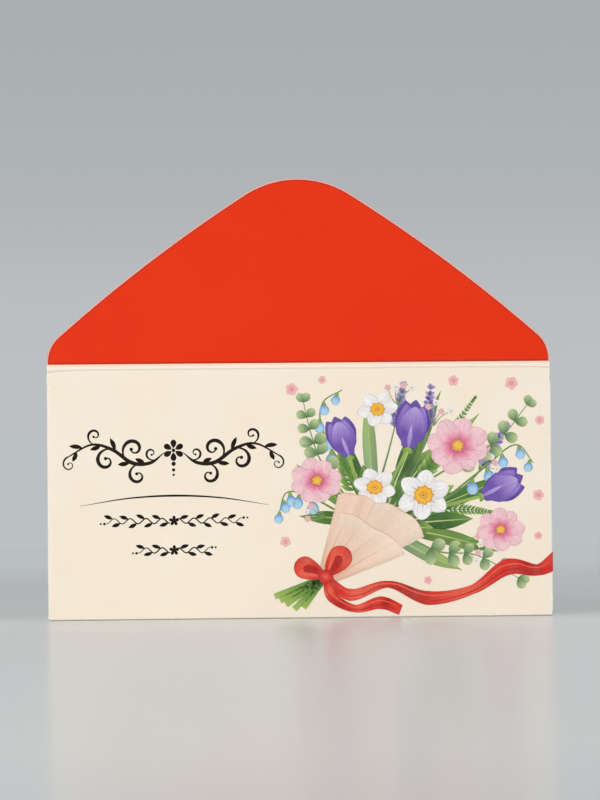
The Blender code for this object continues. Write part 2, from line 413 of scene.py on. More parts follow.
def makeFront():
    shape = frontShape
    foot = tableTop + bendRadius
    slitLow, slitHigh = sideLow.z - shape["slit"], sideHigh.z + shape["slit"]
    fineStart = lowerScore - shape["fineBelow"]
    heights = [foot, slitLow, sideHigh.z, slitHigh] + evenSteps(sideLow.z, fineStart, shape["rows"])
    heights += creaseRows(fineStart, middleOfSpine, shape["fineRow"])
    heights = sorted(set(round(value, 7) for value in heights))
    inner = evenSteps(-sideStart, sideStart, shape["columns"])
    across = [-freeEdge, -freeEdge + shape["paleEdge"]] + inner + [freeEdge - shape["paleEdge"], freeEdge]
    across = [x + (cutShift if abs(x) > sideStart else 0) for x in across]
    rows = []
    for z in heights:
        lean = shape["leftLean"] * min(max((lowerScore - z) / (lowerScore - sideHigh.z), 0), 1)
        places = [x + (lean if x < -sideStart - near else 0) for x in across]
        rows.append([Vector((x, frontPlane(x, z), z)) for x in places])

    def slotAt(row, column):
        return creamCut if column in (0, len(across) - 2) else creamPrint

    def inSlit(point):
        return slitLow < point.z < slitHigh

    def isSeam(point):
        beside = abs(abs(point.x) - sideStart) < near and inSlit(point)
        return beside or abs(point.z - middleOfSpine) < near or abs(point.z - foot) < near

    # beside a side fold the front goes over into it and has no free edge
    piece = surfaceObject("frontCard", rows, slotAt)
    work = bmesh.new()
    work.from_mesh(piece.data)
    middles = {face: face.calc_center_median() for face in work.faces}
    gone = [face for face, middle in middles.items() if abs(middle.x) > sideStart and inSlit(middle)]
    bmesh.ops.delete(work, geom=gone, context="FACES")
    work.to_mesh(piece.data)
    work.free()
    return finishCard(piece, isSeam, creamCut, creaseMarks)


# the cut is darkened towards the flap's lower corners as painted shade
flapShape = {
    "tipRadius": 0.032, "sideRadius": 0.5, "cornerRadius": 0.011, "shoulder": 0.0005,
    "tipSteps": 26, "sideSteps": 22, "cornerSteps": 16, "columns": 40,
    "fineRow": 0.00007, "fineAbove": 0.0011,
    "rings": [0, 0.0004, 0.0006, 0.00088], "pressed": 0.72,
    "stained": 0.25, "stainRise": 0.012, "stainDepth": 0.4, "stainMore": 0.00003,
}


def flapEdge():
    # right half of the flap's outline, foot to tip, as (across, height, outward across, outward up)
    shape = flapShape
    height = flapHigh.z - upperScore
    tip = Vector((0, height - shape["tipRadius"]))
    corner = Vector((freeEdge - shape["cornerRadius"], shape["shoulder"]))
    lessTip = shape["sideRadius"] - shape["tipRadius"]
    lessCorner = shape["sideRadius"] - shape["cornerRadius"]
    span = corner - tip
    along = (lessCorner ** 2 + span.length ** 2 - lessTip ** 2) / (2 * span.length)
    away = math.sqrt(lessCorner ** 2 - along ** 2)
    forward = span.normalized()
    side = corner - forward * along + Vector((forward.y, -forward.x)) * away
    tipEnd = math.atan2((tip - side).y, (tip - side).x)
    sideEnd = math.atan2((corner - side).y, (corner - side).x)
    edge = arcPlaces(corner, shape["cornerRadius"], 0, sideEnd, shape["cornerSteps"])[1:]
    edge += arcPlaces(side, shape["sideRadius"], sideEnd, tipEnd - sideEnd, shape["sideSteps"])[1:]
    edge += arcPlaces(tip, shape["tipRadius"], tipEnd, math.pi / 2 - tipEnd, shape["tipSteps"])[1:]
    return [(x, upperScore + up, outX, outUp) for x, up, outX, outUp in edge]


def flapPlane(across, height):
    # the open flap curls forward slightly towards its tip, a little more on one side
    up = max(height - upperScore, 0) / (flapHigh.z - upperScore)
    forward = creaseShape["flapCurl"] * up ** 2 + creaseShape["flapTwist"] * up * across / freeEdge
    return frontFace - forward - creaseRise(across, height)


def distanceFrom(places):
    # how far a place in the plane of the sheet is from the nearest of these
    ring = KDTree(len(places))
    for index, (x, z) in enumerate(places):
        ring.insert((x, 0, z), index)
    ring.balance()
    return lambda x, z: ring.find((x, 0, z))[2]


def makeFlap():
    shape = flapShape
    shoulder = upperScore + shape["shoulder"]
    low = creaseRows(middleOfSpine, redStart, shape["fineRow"])
    low += creaseRows(redStart, shoulder, shape["fineRow"])[1:]
    creamRows = sum(1 for z in low if z < redStart - near)
    border = [(freeEdge, z, 1, 0) for z in low]
    for index in range(int((shape["fineAbove"] - shape["shoulder"]) / shape["fineRow"])):
        rise = (index + 1) * shape["fineRow"]
        angle = math.asin(rise / shape["cornerRadius"])
        across = freeEdge - shape["cornerRadius"] * (1 - math.cos(angle))
        border.append((across, shoulder + rise, math.cos(angle), math.sin(angle)))
    coarse = border[-1][1] + shape["fineRow"]
    border += [point for point in flapEdge() if point[1] > coarse]
    rows, cutPlaces, pressedPlaces = [], [], []
    shares = evenSteps(-1, 1, shape["columns"])
    for across, height, outX, outZ in border:
        rings = [(max(across - inset * outX, 0), height - inset * outZ) for inset in shape["rings"]]
        innerX, innerZ = rings[-1]
        row = [(-x, z) for x, z in rings[:-1]] + [(innerX * share, innerZ) for share in shares]
        row = [(x + cutShift, z) for x, z in row + rings[-2::-1]]
        rows.append([Vector((x, flapPlane(x, z), z)) for x, z in row])
        if height > redStart:
            cutPlaces += [row[0], row[-1]]
            pressedPlaces += [row[index] for index in (1, 2, -3, -2)]
    last = len(rows[0]) - 2

    def slotAt(row, column):
        if row < creamRows:
            return creamCut if column in (0, last) else creamPrint
        return redCut if column in (0, last) else redPrint

    fromCut, fromPressed = distanceFrom(cutPlaces), distanceFrom(pressedPlaces)

    def isSeam(point):
        return abs(point.z - middleOfSpine) < near

    def markAt(x, y, z):
        # the red ink tints the front of the cut, the cut is darkened towards the flap's lower corners as
        # painted shade, and the red is pressed darker beside the cut
        if y > flapPlane(x, z) + cardThickness * shape["stainDepth"]:
            return 0, 0, 0
        crack, scored, tint = creaseMarks(x, y, z)
        if fromPressed(x, z) < near:
            scored = max(scored, shape["pressed"])
        if fromCut(x, z) < shape["rings"][1] + shape["stainMore"]:
            low = 1 - smooth((z - upperScore) / shape["stainRise"])
            scored, tint = max(scored, shape["stained"] * low), 1
        return crack, scored, tint

    return finishCard(surfaceObject("flapCard", rows, slotAt), isSeam, redCut, markAt)


# the rub along the outside of each fold is partly a painted highlight
sideShape = {
    "bendSteps": 14, "tabSteps": 3, "rows": 24, "taper": 0.008, "leastTab": 0.06,
    "rubbed": 0.9, "rubRise": 2.2, "rubStart": 0.1, "cutRound": 0.00008,
}


def makeSide(name, side):
    # from the front panel round the fold to the free edge of the tab
    shape = sideShape
    bend = arcPlaces((sideStart, foldDepth), sideRadius, -math.pi / 2, math.pi, shape["bendSteps"])
    rows = []
    for height in evenSteps(sideLow.z, sideHigh.z, shape["rows"]):
        inwards = min(height - sideLow.z, sideHigh.z - height) / shape["taper"]
        width = (sideStart - tabLow.x) * min(max(inwards, shape["leastTab"]), 1)
        row = [place[:2] for place in bend]
        row += [(x, tabHigh.y) for x in evenSteps(sideStart, sideStart - width, shape["tabSteps"])[1:]]
        points = [Vector((side * x, y, height)) for x, y in row]
        rows.append(points if side > 0 else points[::-1])
    piece = surfaceObject(name, rows, lambda row, column: creamPrint)

    def isSeam(point):
        return abs(abs(point.x) - sideStart) < near and point.y < foldDepth

    def markAt(x, y, z):
        # the print is rubbed pale along the outside of the fold, and lightened further there as a painted
        # highlight
        out = (abs(x) - sideStart) / sideRadius
        return shape["rubbed"] * smooth(out * shape["rubRise"] - shape["rubStart"]), 0, 0

    return finishCard(piece, isSeam, creamCut, markAt, shape["cutRound"])


# the bends get a painted highlight above a painted contact shadow where they touch the table
pocketShape = {
    "cornerRadius": 0.003, "notchDepth": 0.008, "notchRadius": 0.03, "lipRadius": 0.005,
    "cornerSteps": 8, "lipSteps": 8, "notchSteps": 16, "plainSteps": 6, "bendSteps": 8, "rows": 18,
    "paleEdge": 0.00024, "bow": 0.00012, "rubbed": 0.8, "rubReach": 1.2, "worn": 0.95, "wornRise": 0.0006,
}


def pocketMouth():
    # right half of the mouth from the thumb notch to the side edge: (across, height, outward, outward)
    shape = pocketShape
    top, lipTop = pocketHigh.z, pocketHigh.z - shape["lipRadius"]
    corner = (pocketHigh.x - shape["cornerRadius"], top - shape["cornerRadius"])
    notch = Vector((0, top - shape["notchDepth"] + shape["notchRadius"]))
    drop = notch.y - lipTop
    lip = Vector((math.sqrt((shape["notchRadius"] + shape["lipRadius"]) ** 2 - drop ** 2), lipTop))
    join = math.atan2(-drop, lip.x)
    quarter = math.pi / 2
    mouth = arcPlaces(notch, shape["notchRadius"], -quarter, join + quarter, shape["notchSteps"], -1)
    mouth += arcPlaces(lip, shape["lipRadius"], join + math.pi, -quarter - join, shape["lipSteps"])[1:]
    mouth += [(x, top, 0, 1) for x in evenSteps(lip.x, corner[0], shape["plainSteps"])[1:]]
    mouth += arcPlaces(corner, shape["cornerRadius"], quarter, -quarter, shape["cornerSteps"])[1:]
    return mouth


def makePocket():
    # round the two bottom bends and up the back to the mouth
    shape = pocketShape
    start = tableTop + bendRadius
    bend = []
    for centre, turn in ((footLow.y + bendRadius, math.pi), (footHigh.y - bendRadius, -math.pi / 2)):
        bend += arcPlaces((centre, start), bendRadius, turn, math.pi / 2, shape["bendSteps"])
    right = pocketMouth()
    mouth = [(-x, z, -outX, outZ) for x, z, outX, outZ in reversed(right[1:])] + right
    columns = []
    for across, height, outX, outZ in mouth:
        inX = across - shape["paleEdge"] * outX
        inZ = height - shape["paleEdge"] * outZ
        column = [Vector((inX, *place[:2])) for place in bend]
        for up in evenSteps(0, 1, shape["rows"])[1:]:
            bow = shape["bow"] * math.sin(math.pi * up) * (1 - (inX / pocketHigh.x) ** 2)
            column.append(Vector((inX, footHigh.y + bow, start + (inZ - start) * up)))
        columns.append(column + [Vector((across, footHigh.y, height))])
    for end in (0, -1):
        across = math.copysign(pocketHigh.x, columns[end][0].x)
        border = [Vector((across, point.y, point.z)) for point in columns[end]]
        columns.insert(0 if end == 0 else len(columns), border)
    last, top = len(columns) - 2, len(columns[0]) - 2

    def slotAt(row, column):
        return creamCut if row in (0, last) or column == top else creamPrint

    def isSeam(point):
        return abs(point.z - start) < near and point.y < (footLow.y + footHigh.y) / 2

    def markAt(x, y, z):
        # the two tight bends under the pocket are rubbed pale with a painted highlight, and darkened with a
        # painted contact shadow where they touch the table
        worn = shape["worn"] * (1 - smooth((z - tableTop) / shape["wornRise"]))
        rubbed = shape["rubbed"] * smooth(shape["rubReach"] - (z - tableTop) / bendRadius)
        return rubbed * (1 - worn), worn, 0

    return finishCard(surfaceObject("pocketCard", columns, slotAt), isSeam, creamCut, markAt)


frontCard = makeFront()
flapCard = makeFlap()
leftSide = makeSide("leftSideCard", -1)
rightSide = makeSide("rightSideCard", 1)
pocketCard = makePocket()
for piece in (leftSide, rightSide, pocketCard):
    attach(piece, "envelope")
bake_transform(frontCard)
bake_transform(flapCard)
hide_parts("front_panel", "flap_spine")
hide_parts("flap", "flap_spine")
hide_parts("left_side_fold", "left_glue_tab")
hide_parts("right_side_fold", "right_glue_tab")
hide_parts("pocket_panel", "bottom_fold")
glue = glueMaterial()
for name in ("left_glue_line", "right_glue_line"):
    node = frame["nodes"][name]
    node.data.materials.clear()
    node.data.materials.append(glue)
print("Card folded: front, flap, two sides and pocket")


# Prints: flat shapes of ink on the front panel, placed from its lower left corner

printLook = {"ground": 0.000012, "layerStep": 0.0000009, "seed": 11, "hair": 0.0000005}


def printPlace(across, up, layer):
    # on the printed face, and round the side fold where the picture runs over it
    x, z = across - sideHigh.x, tableTop + up
    lift = printLook["ground"] + layer * printLook["layerStep"]
    if abs(x) <= sideStart:
        return (x, frontPlane(x, z) - lift, z)
    angle = (abs(x) - sideStart) / sideRadius
    reach = sideRadius + lift
    return (math.copysign(sideStart + reach * math.sin(angle), x), foldDepth - reach * math.cos(angle), z)


def inksOf(tones, names):
    return [linear(*tones[name]) for name in names.split()]


def alongInks(share, inks, columns):
    # a grid of colours: between the given inks down the share, and the same in every column
    tones = np.array(inks, float)
    stops = np.linspace(0, 1, len(tones))
    run = np.stack([np.interp(share, stops, tones[:, channel]) for channel in range(4)], -1)
    return np.repeat(run[:, None, :], columns, 1)


def gridOf(*parts):
    # a grid of points, from parts that change downwards, sideways, both ways or not at all
    return np.stack(np.broadcast_arrays(*parts), -1)


def addPatch(sheet, places, inks, runs):
    # one patch of ink: a grid of places with an ink and a run for each
    rows, columns = places.shape[:2]
    first = len(sheet["points"])
    sheet["points"] += [printPlace(*place, sheet["layer"]) for place in places.reshape(-1, 2)]
    sheet["inks"] += [*inks.reshape(-1, 4)]
    sheet["runs"] += [*runs.reshape(-1, 3)]
    for row in range(rows - 1):
        for column in range(columns - 1):
            corner = first + row * columns + column
            sheet["faces"].append((corner, corner + 1, corner + columns + 1, corner + columns))
    sheet["layer"] += 1


def makePrint(name, draw, layer, material):
    random.seed(printLook["seed"])
    sheet = {"points": [], "faces": [], "inks": [], "runs": [], "layer": layer}
    draw(sheet)
    mesh = bpy.data.meshes.new(name)
    mesh.from_pydata(sheet["points"], [], sheet["faces"])
    ink = mesh.attributes.new("ink", "FLOAT_COLOR", "POINT")
    ink.data.foreach_set("color", np.array(sheet["inks"], np.float32).ravel())
    run = mesh.attributes.new("run", "FLOAT_VECTOR", "POINT")
    run.data.foreach_set("vector", np.array(sheet["runs"], np.float32).ravel())
    mesh.materials.append(material)
    work = bmesh.new()
    work.from_mesh(mesh)
    bmesh.ops.dissolve_degenerate(work, edges=work.edges[:], dist=printLook["hair"])
    for face in work.faces:
        # the ink faces the front, and on the outer part of a fold the side
        x = face.calc_center_median().x
        onFold = abs(x) > sideStart + sideRadius / 2
        outward = Vector((math.copysign(1, x), 0, 0)) if onFold else Vector((0, -1, 0))
        if face.normal.dot(outward) < 0:
            face.normal_flip()
    work.to_mesh(mesh)
    work.free()
    piece = bpy.data.objects.new(name, mesh)
    scene.collection.objects.link(piece)
    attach(piece, "envelope")
    print("Printed", name, len(mesh.polygons), "faces")


petalShape = {
    "columns": [-1, -0.84, -0.45, 0, 0.45, 0.84, 1], "rowPower": 1.5, "risePower": 0.8, "toothPower": 3,
    "waves": 9, "wobble": 0.03, "rimAt": 0.9, "rimTop": 0.97, "rimFoot": 0.3, "halfAt": 0.1,
}
strokeShape = {"columns": [-1, -0.6, 0.6, 1], "shades": [0.82, 1, 1, 0.9], "along": 3, "across": 0.4}
runSpread = 50  # every patch takes its streaks from another place


def widthShare(t, peak, tip):
    # 0 at the base, 1 at the widest place, then round (tip 0.5) or pointed (tip 1 and over)
    rise = np.sin(np.pi / 2 * np.clip(t / peak, 0, 1)) ** petalShape["risePower"]
    fall = (1 - np.clip((t - peak) / (1 - peak), 0, 1) ** 2) ** tip
    return np.where(t < peak, rise, fall)


def addPetal(sheet, base, turn, length, width, inks, peak=0.6, tip=0.5, foot=0.0, curl=0.0,
             teeth=0.0, squash=1.0, edge=0.35, halves=0.0, steps=9):
    # turn is in degrees, clockwise from straight up. The inks run from base to tip, the last is the rim's.
    shape = petalShape
    t = 1 - (1 - np.linspace(0, 1, steps)[:, None]) ** shape["rowPower"]
    s = np.array(shape["columns"])
    phase = random.uniform(0, 6.28)
    share = np.maximum(widthShare(t, peak, tip), foot * (1 - t))
    half = width / 2 * share * (1 + shape["wobble"] * np.sin(shape["waves"] * t + phase))
    notch = teeth * (0.5 - 0.5 * np.cos(3 * np.pi * (s + 1) / 2 + np.pi))
    up = length * t * (1 - notch * share * t ** shape["toothPower"])
    across = s * half + curl * length * (t ** 2)
    x, y = math.sin(math.radians(turn)), math.cos(math.radians(turn))
    places = gridOf(base[0] + across * y + up * x, base[1] + (up * y - across * x) * squash)
    rim = (np.abs(s) > shape["rimAt"]) | (t > shape["rimTop"])
    rim = (rim * edge * (shape["rimFoot"] + (1 - shape["rimFoot"]) * t))[..., None]
    colours = alongInks(t[:, 0], inks[:-1], len(s)) * (1 - rim) + np.array(inks[-1], float) * rim
    colours[..., :3] *= (1 - halves * (s > shape["halfAt"]))[:, None]
    addPatch(sheet, places, colours, gridOf(t, s, random.uniform(0, runSpread)))


def curveThrough(route, steps):
    # smooth line through the points of a route
    points = np.array(route, float)
    ends = np.vstack([2 * points[0] - points[1], points, 2 * points[-1] - points[-2]])
    t = np.linspace(0, len(points) - 1, steps)
    index = np.minimum(t.astype(int), len(points) - 2)
    part = (t - index)[:, None]
    before, here, after, beyond = ends[index], ends[index + 1], ends[index + 2], ends[index + 3]
    return 0.5 * (2 * here + (after - before) * part
                  + (2 * before - 5 * here + 4 * after - beyond) * part ** 2
                  + (3 * here - before - 3 * after + beyond) * part ** 3)


def sideways(line):
    # the direction across a line, at each of its points
    heading = np.gradient(line, axis=0)
    heading /= np.linalg.norm(heading, axis=1)[:, None] + 1e-12
    return np.stack([-heading[:, 1], heading[:, 0]], 1)


def widthsAlong(widths, steps):
    return np.interp(np.linspace(0, 1, steps), np.linspace(0, 1, len(widths)), widths)


def addStroke(sheet, route, widths, inks, steps=24, columns=3):
    # a brush line along the route, its width and ink following the run of the line
    shape = strokeShape
    line = curveThrough(route, steps)
    along = np.linspace(0, 1, steps)
    s = np.unique(np.concatenate([shape["columns"], np.linspace(-1, 1, columns)]))
    aside = s[None, :, None] * widthsAlong(widths, steps)[:, None, None] / 2
    colours = alongInks(along, inks, len(s))
    colours[..., :3] *= np.interp(s, shape["columns"], shape["shades"])[:, None]
    runs = gridOf(along[:, None] * shape["along"], s * shape["across"], random.uniform(0, runSpread))
    addPatch(sheet, line[:, None] + sideways(line)[:, None] * aside, colours, runs)
    return line


def addDisc(sheet, centre, radius, inks, lobes=0, depth=0.0, squash=1.0, turn=0, rings=5, sides=20):
    # round patch, ink from the middle out, with wavy lobes if wanted
    angles = np.linspace(0, 2 * np.pi, sides + 1)
    share = np.linspace(0, 1, rings)
    reach = radius * (1 + depth * np.cos(lobes * angles)) * share[:, None]
    x, y = reach * np.cos(angles), reach * np.sin(angles) * squash
    right, down = math.cos(math.radians(turn)), math.sin(math.radians(turn))
    places = gridOf(centre[0] + x * right + y * down, centre[1] - x * down + y * right)
    runs = gridOf(share[:, None], angles / 2, random.uniform(0, runSpread))
    addPatch(sheet, places, alongInks(share, inks, sides + 1), runs)


def towards(start, end):
    # turn in degrees, clockwise from straight up
    return math.degrees(math.atan2(end[0] - start[0], end[1] - start[1]))


def between(start, end, share):
    return tuple(a + (b - a) * share for a, b in zip(start, end))


def onLine(line, share, back=2, ahead=0):
    # the place at this share of a line, and the line's turn there
    here = int(share * (len(line) - 1))
    return line[here], towards(line[max(here - back, 0)], line[here + ahead])


greens = {
    "deep": (60, 108, 44), "mid": (102, 152, 56), "light": (166, 196, 92),
    "sage": (150, 182, 128), "pale": (208, 222, 162), "stem": (112, 148, 64),
}
spray = {"mouth": (0.1075, 0.03), "tie": (0.0905, 0.0135)}  # where the stems meet


def drawLeaves(sheet):
    look = {
        "long": [
            (0.1532, 0.047, 0.005, -0.1), (0.1412, 0.0665, 0.0054, 0.06), (0.129, 0.0738, 0.005, -0.05),
            (0.1045, 0.0728, 0.0046, 0.05), (0.0925, 0.064, 0.0054, -0.08), (0.0812, 0.05, 0.0046, 0.1),
            (0.147, 0.0215, 0.005, 0.12), (0.135, 0.015, 0.0048, -0.1), (0.0822, 0.0335, 0.0044, -0.12)],
        "short": [(0.127, 0.056, 0.006), (0.1165, 0.05, 0.0058), (0.103, 0.05, 0.0056),
                  (0.133, 0.043, 0.0056), (0.139, 0.032, 0.0056), (0.093, 0.04, 0.005),
                  (0.126, 0.029, 0.0052), (0.11, 0.044, 0.005), (0.1215, 0.062, 0.005)],
        "tones": ["deep mid", "mid light", "stem mid", "sage light"], "leanBack": 0.9, "bow": 0.22,
        "shortStart": 0.42, "vein": [0.0005, 0.0004, 0.0001],
        "longForm": {"peak": 0.62, "tip": 1.3, "foot": 0.2, "edge": 0.5, "halves": 0.2, "steps": 14},
        "shortForm": {"peak": 0.5, "tip": 1.2, "edge": 0.5, "halves": 0.22, "steps": 11},
    }
    mouth, veinInks = spray["mouth"], inksOf(greens, "pale light")
    for index, (x, y, width, curl) in enumerate(look["long"]):
        length, turn = math.dist(mouth, (x, y)), towards(mouth, (x, y))
        inks = inksOf(greens, f"deep {look['tones'][index % 4]} deep")
        addPetal(sheet, mouth, turn - math.degrees(curl) * look["leanBack"], length, width, inks,
                 curl=curl, **look["longForm"])
        middle, bow, side = between(mouth, (x, y), 0.5), curl * length * look["bow"], math.radians(turn)
        bowed = (middle[0] - bow * math.cos(side), middle[1] + bow * math.sin(side))
        addStroke(sheet, [mouth, bowed, (x, y)], look["vein"], veinInks)
    for index, (x, y, width) in enumerate(look["short"]):
        base = between(mouth, (x, y), look["shortStart"])
        first, second = "mid" if index % 2 else "deep", "mid" if index % 3 else "light"
        inks = inksOf(greens, f"deep {first} {second} deep")
        length, turn = math.dist(base, (x, y)), towards(base, (x, y))
        addPetal(sheet, base, turn, length, width, inks, **look["shortForm"])
        addStroke(sheet, [base, between(base, (x, y), 0.5), (x, y)], look["vein"], veinInks)


def drawSprigs(sheet):
    # round-leaved twigs that hang out of the spray on three sides
    look = {
        "routes": [[(0.113, 0.029), (0.127, 0.0215), (0.14, 0.02), (0.1535, 0.0125)],
                   [(0.1, 0.036), (0.09, 0.05), (0.0862, 0.06), (0.0838, 0.0705)],
                   [(0.12, 0.042), (0.137, 0.052), (0.148, 0.058), (0.157, 0.069)]],
        "leaf": 0.0044, "pairs": 6, "twig": [0.0007, 0.0005, 0.0003],
        "form": {"peak": 0.58, "tip": 0.62, "edge": 0.55, "halves": 0.16, "steps": 8},
        "start": 0.3, "shrink": 0.45, "longer": 1.25, "leans": (-58, 62), "endLeans": (-30, 34), "swing": 9,
    }
    for route in look["routes"]:
        line = addStroke(sheet, route, look["twig"], inksOf(greens, "stem sage"), 40)
        for pair in range(look["pairs"]):
            share = look["start"] + (1 - look["start"]) * pair / (look["pairs"] - 1)
            place, turn = onLine(line, share)
            size = look["leaf"] * (1.1 - look["shrink"] * share) * random.uniform(0.9, 1.1)
            for lean in look["leans" if share < 1 else "endLeans"]:
                lean += random.uniform(-look["swing"], look["swing"])
                addPetal(sheet, place, turn + lean, size * look["longer"], size,
                         inksOf(greens, "deep sage pale stem"), **look["form"])


def drawFerns(sheet):
    # small feathered leaves that fill the gaps low in the spray
    look = {
        "routes": [[(0.11, 0.031), (0.123, 0.0345), (0.136, 0.035), (0.148, 0.0335)],
                   [(0.106, 0.033), (0.099, 0.044), (0.0965, 0.054), (0.0985, 0.065)],
                   [(0.112, 0.034), (0.124, 0.048), (0.131, 0.059), (0.1405, 0.0722)]],
        "pairs": 24, "leaf": 0.0042, "width": 0.27, "leastWidth": 0.00028, "end": 0.0018,
        "stem": [0.0006, 0.0004, 0.0002], "form": {"peak": 0.5, "tip": 1.0, "edge": 0.4, "steps": 6},
        "start": 0.26, "reach": 0.73, "bunching": 1.6, "shrink": 0.98, "leans": ((-46, 0.1), (48, -0.1)),
    }
    for index, route in enumerate(look["routes"]):
        line = addStroke(sheet, route, look["stem"], inksOf(greens, "deep mid"), 140)
        for pair in range(look["pairs"]):
            share = 1 - (1 - pair / (look["pairs"] - 1)) ** look["bunching"]
            place, turn = onLine(line, look["start"] + look["reach"] * share, 4)
            size = look["leaf"] * (1.15 - look["shrink"] * share)
            width = look["width"] * size + look["leastWidth"]
            inks = inksOf(greens, "deep mid light deep" if (pair + index) % 3 else "deep mid pale deep")
            for lean, curl in look["leans"]:
                addPetal(sheet, place, turn + lean, size, width, inks, curl=curl, **look["form"])
                sheet["layer"] -= 1
        addPetal(sheet, line[-9], towards(line[-9], line[-1]), look["end"], look["leastWidth"] * 2,
                 inksOf(greens, "deep mid mid deep"), tip=1.0, steps=6)
        sheet["layer"] -= 1


def drawTulips(sheet):
    inner = {"peak": 0.57, "tip": 0.9, "foot": 0.35, "edge": 0.6}
    outer = {"peak": 0.45, "tip": 0.8, "foot": 0.45, "edge": 0.7}
    look = {
        "heads": [(0.118, 0.0555, 10, 1.0), (0.1425, 0.0395, 64, 0.92), (0.0985, 0.053, -20, 0.86)],
        "length": 0.0158, "width": 0.0092, "stem": [0.0013, 0.0011, 0.0011], "stemBow": 0.001,
        "leaves": (-34, 40), "leafSize": 0.16,
        "leafForm": {"peak": 0.5, "tip": 0.8, "edge": 0.5, "steps": 6},
        "dark": (76, 48, 138), "mid": (112, 80, 176), "light": (160, 132, 212),
        "pale": (196, 176, 230),
        # from the back to the front: lean, length, width, inks, form
        "petals": [
            (-13, 0.98, 0.8, "dark dark mid dark", inner),
            (15, 0.95, 0.8, "dark dark mid dark", inner),
            (0, 1, 0.8, "dark dark mid dark", inner),
            (-17, 0.9, 0.78, "dark mid light dark", {**outer, "curl": 0.1, "halves": 0.2}),
            (17, 0.88, 0.78, "dark mid light dark", {**outer, "curl": -0.1, "halves": -0.12}),
            (1, 0.86, 0.98, "mid mid light pale mid",
             {"peak": 0.42, "tip": 0.75, "foot": 0.5, "edge": 0.75, "halves": 0.06}),
            (-1, 0.5, 0.16, "light pale pale", {"peak": 0.4, "tip": 1.4, "edge": 0.0, "foot": 0.4}),
        ],
    }
    for x, y, turn, scale in look["heads"]:
        sheet["layer"] = 46
        middle = between(spray["mouth"], (x, y), 0.5)
        route = [spray["mouth"], (middle[0] - look["stemBow"], middle[1]), (x, y)]
        addStroke(sheet, route, look["stem"], inksOf(greens, "deep light"))
        size, wide = look["length"] * scale, look["width"] * scale
        for lean, part, width, tones, form in look["petals"]:
            addPetal(sheet, (x, y), turn + lean, size * part, wide * width, inksOf(look, tones), **form)
        for lean in look["leaves"]:
            addPetal(sheet, (x, y), turn + 180 + lean, size * look["leafSize"], wide * look["leafSize"],
                     inksOf(greens, "light mid deep"), **look["leafForm"])


def drawOpenFlowers(sheet, look):
    # flowers seen from the front: whorls of petals, some with a fold along them, then discs and pollen
    count = look["petals"]
    for x, y, reach, turn, squash in look["heads"]:
        sheet["layer"] = look["layer"]
        for part, width, shift, tones in look["whorls"]:
            for petal in [*range(0, count, 2), *range(1, count, 2)]:
                lean = turn + shift + 360 * petal / count + random.uniform(-4, 4)
                length = reach * part * random.uniform(*look["stretch"])
                addPetal(sheet, (x, y), lean, length, reach * width, inksOf(look, tones), squash=squash,
                         **look["form"])
                for long, broad, foldTones, form in look["folds"]:
                    sheet["layer"] -= 1
                    addPetal(sheet, (x, y), lean, reach * long, reach * broad, inksOf(look, foldTones),
                             squash=squash, **form)
        for up, size, tones, form in look["discs"]:
            addDisc(sheet, (x, y + reach * up), reach * size, inksOf(look, tones), squash=squash, **form)
        dots, turnEach, far, spread, size, tones = look["pollenDots"]
        for dot in range(dots):
            # the dots lie on a ring, or on a spiral that is squashed with the flower
            out, angle = reach * far * dot ** spread, turnEach * dot
            place = (x + out * math.cos(angle), y + out * math.sin(angle) * squash ** (spread * 2))
            addDisc(sheet, place, reach * size, inksOf(look, tones), rings=2, sides=8)
            sheet["layer"] -= 1


def drawCosmos(sheet):
    drawOpenFlowers(sheet, {
        "heads": [(0.1342, 0.0558, 0.01, 12, 0.94), (0.088, 0.0448, 0.0086, -20, 0.88),
                  (0.148, 0.0282, 0.0078, 35, 0.9)],
        "layer": 60, "petals": 8, "stretch": (0.93, 1.05), "folds": [],
        "whorls": [(1, 0.7, 0, "heart mid tip tip rim"), (0.62, 0.46, 22, "heart heart mid tip rim")],
        "form": {"peak": 0.68, "tip": 0.36, "foot": 0.2, "teeth": 0.13, "edge": 0.6, "halves": 0.07,
                 "steps": 11},
        "discs": [(0, 0.25, "amber heart heart", {}),
                  (0.02, 0.19, "yolk yolk amber", {"lobes": 11, "depth": 0.08, "sides": 44})],
        "pollenDots": (13, 2.4, 0.05, 0.5, 0.028, "pollen yolk"),
        "heart": (222, 106, 140), "mid": (250, 166, 188), "tip": (255, 212, 216),
        "rim": (232, 142, 166), "yolk": (250, 198, 62), "amber": (214, 138, 40),
        "pollen": (254, 232, 140),
    })


def drawNarcissi(sheet):
    drawOpenFlowers(sheet, {
        "heads": [(0.1228, 0.0398, 0.0088, 8, 0.95), (0.1068, 0.0425, 0.0074, -14, 0.86),
                  (0.108, 0.068, 0.0066, 20, 0.9)],
        "layer": 78, "petals": 6, "stretch": (0.96, 1.04),
        "whorls": [(1, 0.74, 0, "warm cool white white rim")],
        "form": {"peak": 0.5, "tip": 0.62, "foot": 0.3, "edge": 0.75, "halves": 0.05, "steps": 11},
        "folds": [(0.62, 0.05, "rim cool cool", {"peak": 0.4, "tip": 1.2, "edge": 0, "steps": 6})],
        "discs": [(0, 0.36, "heart cupDeep cup cup cupDeep", {"lobes": 9, "depth": 0.09, "sides": 54}),
                  (0, 0.18, "heart cupDeep cup", {})],
        "pollenDots": (5, 1.2566, 0.07, 0, 0.032, "pollen cup"),
        "white": (255, 255, 252), "cool": (247, 246, 242), "rim": (190, 188, 192),
        "warm": (252, 240, 176), "cup": (253, 196, 44), "cupDeep": (232, 132, 26),
        "heart": (160, 128, 30), "pollen": (255, 236, 144),
    })


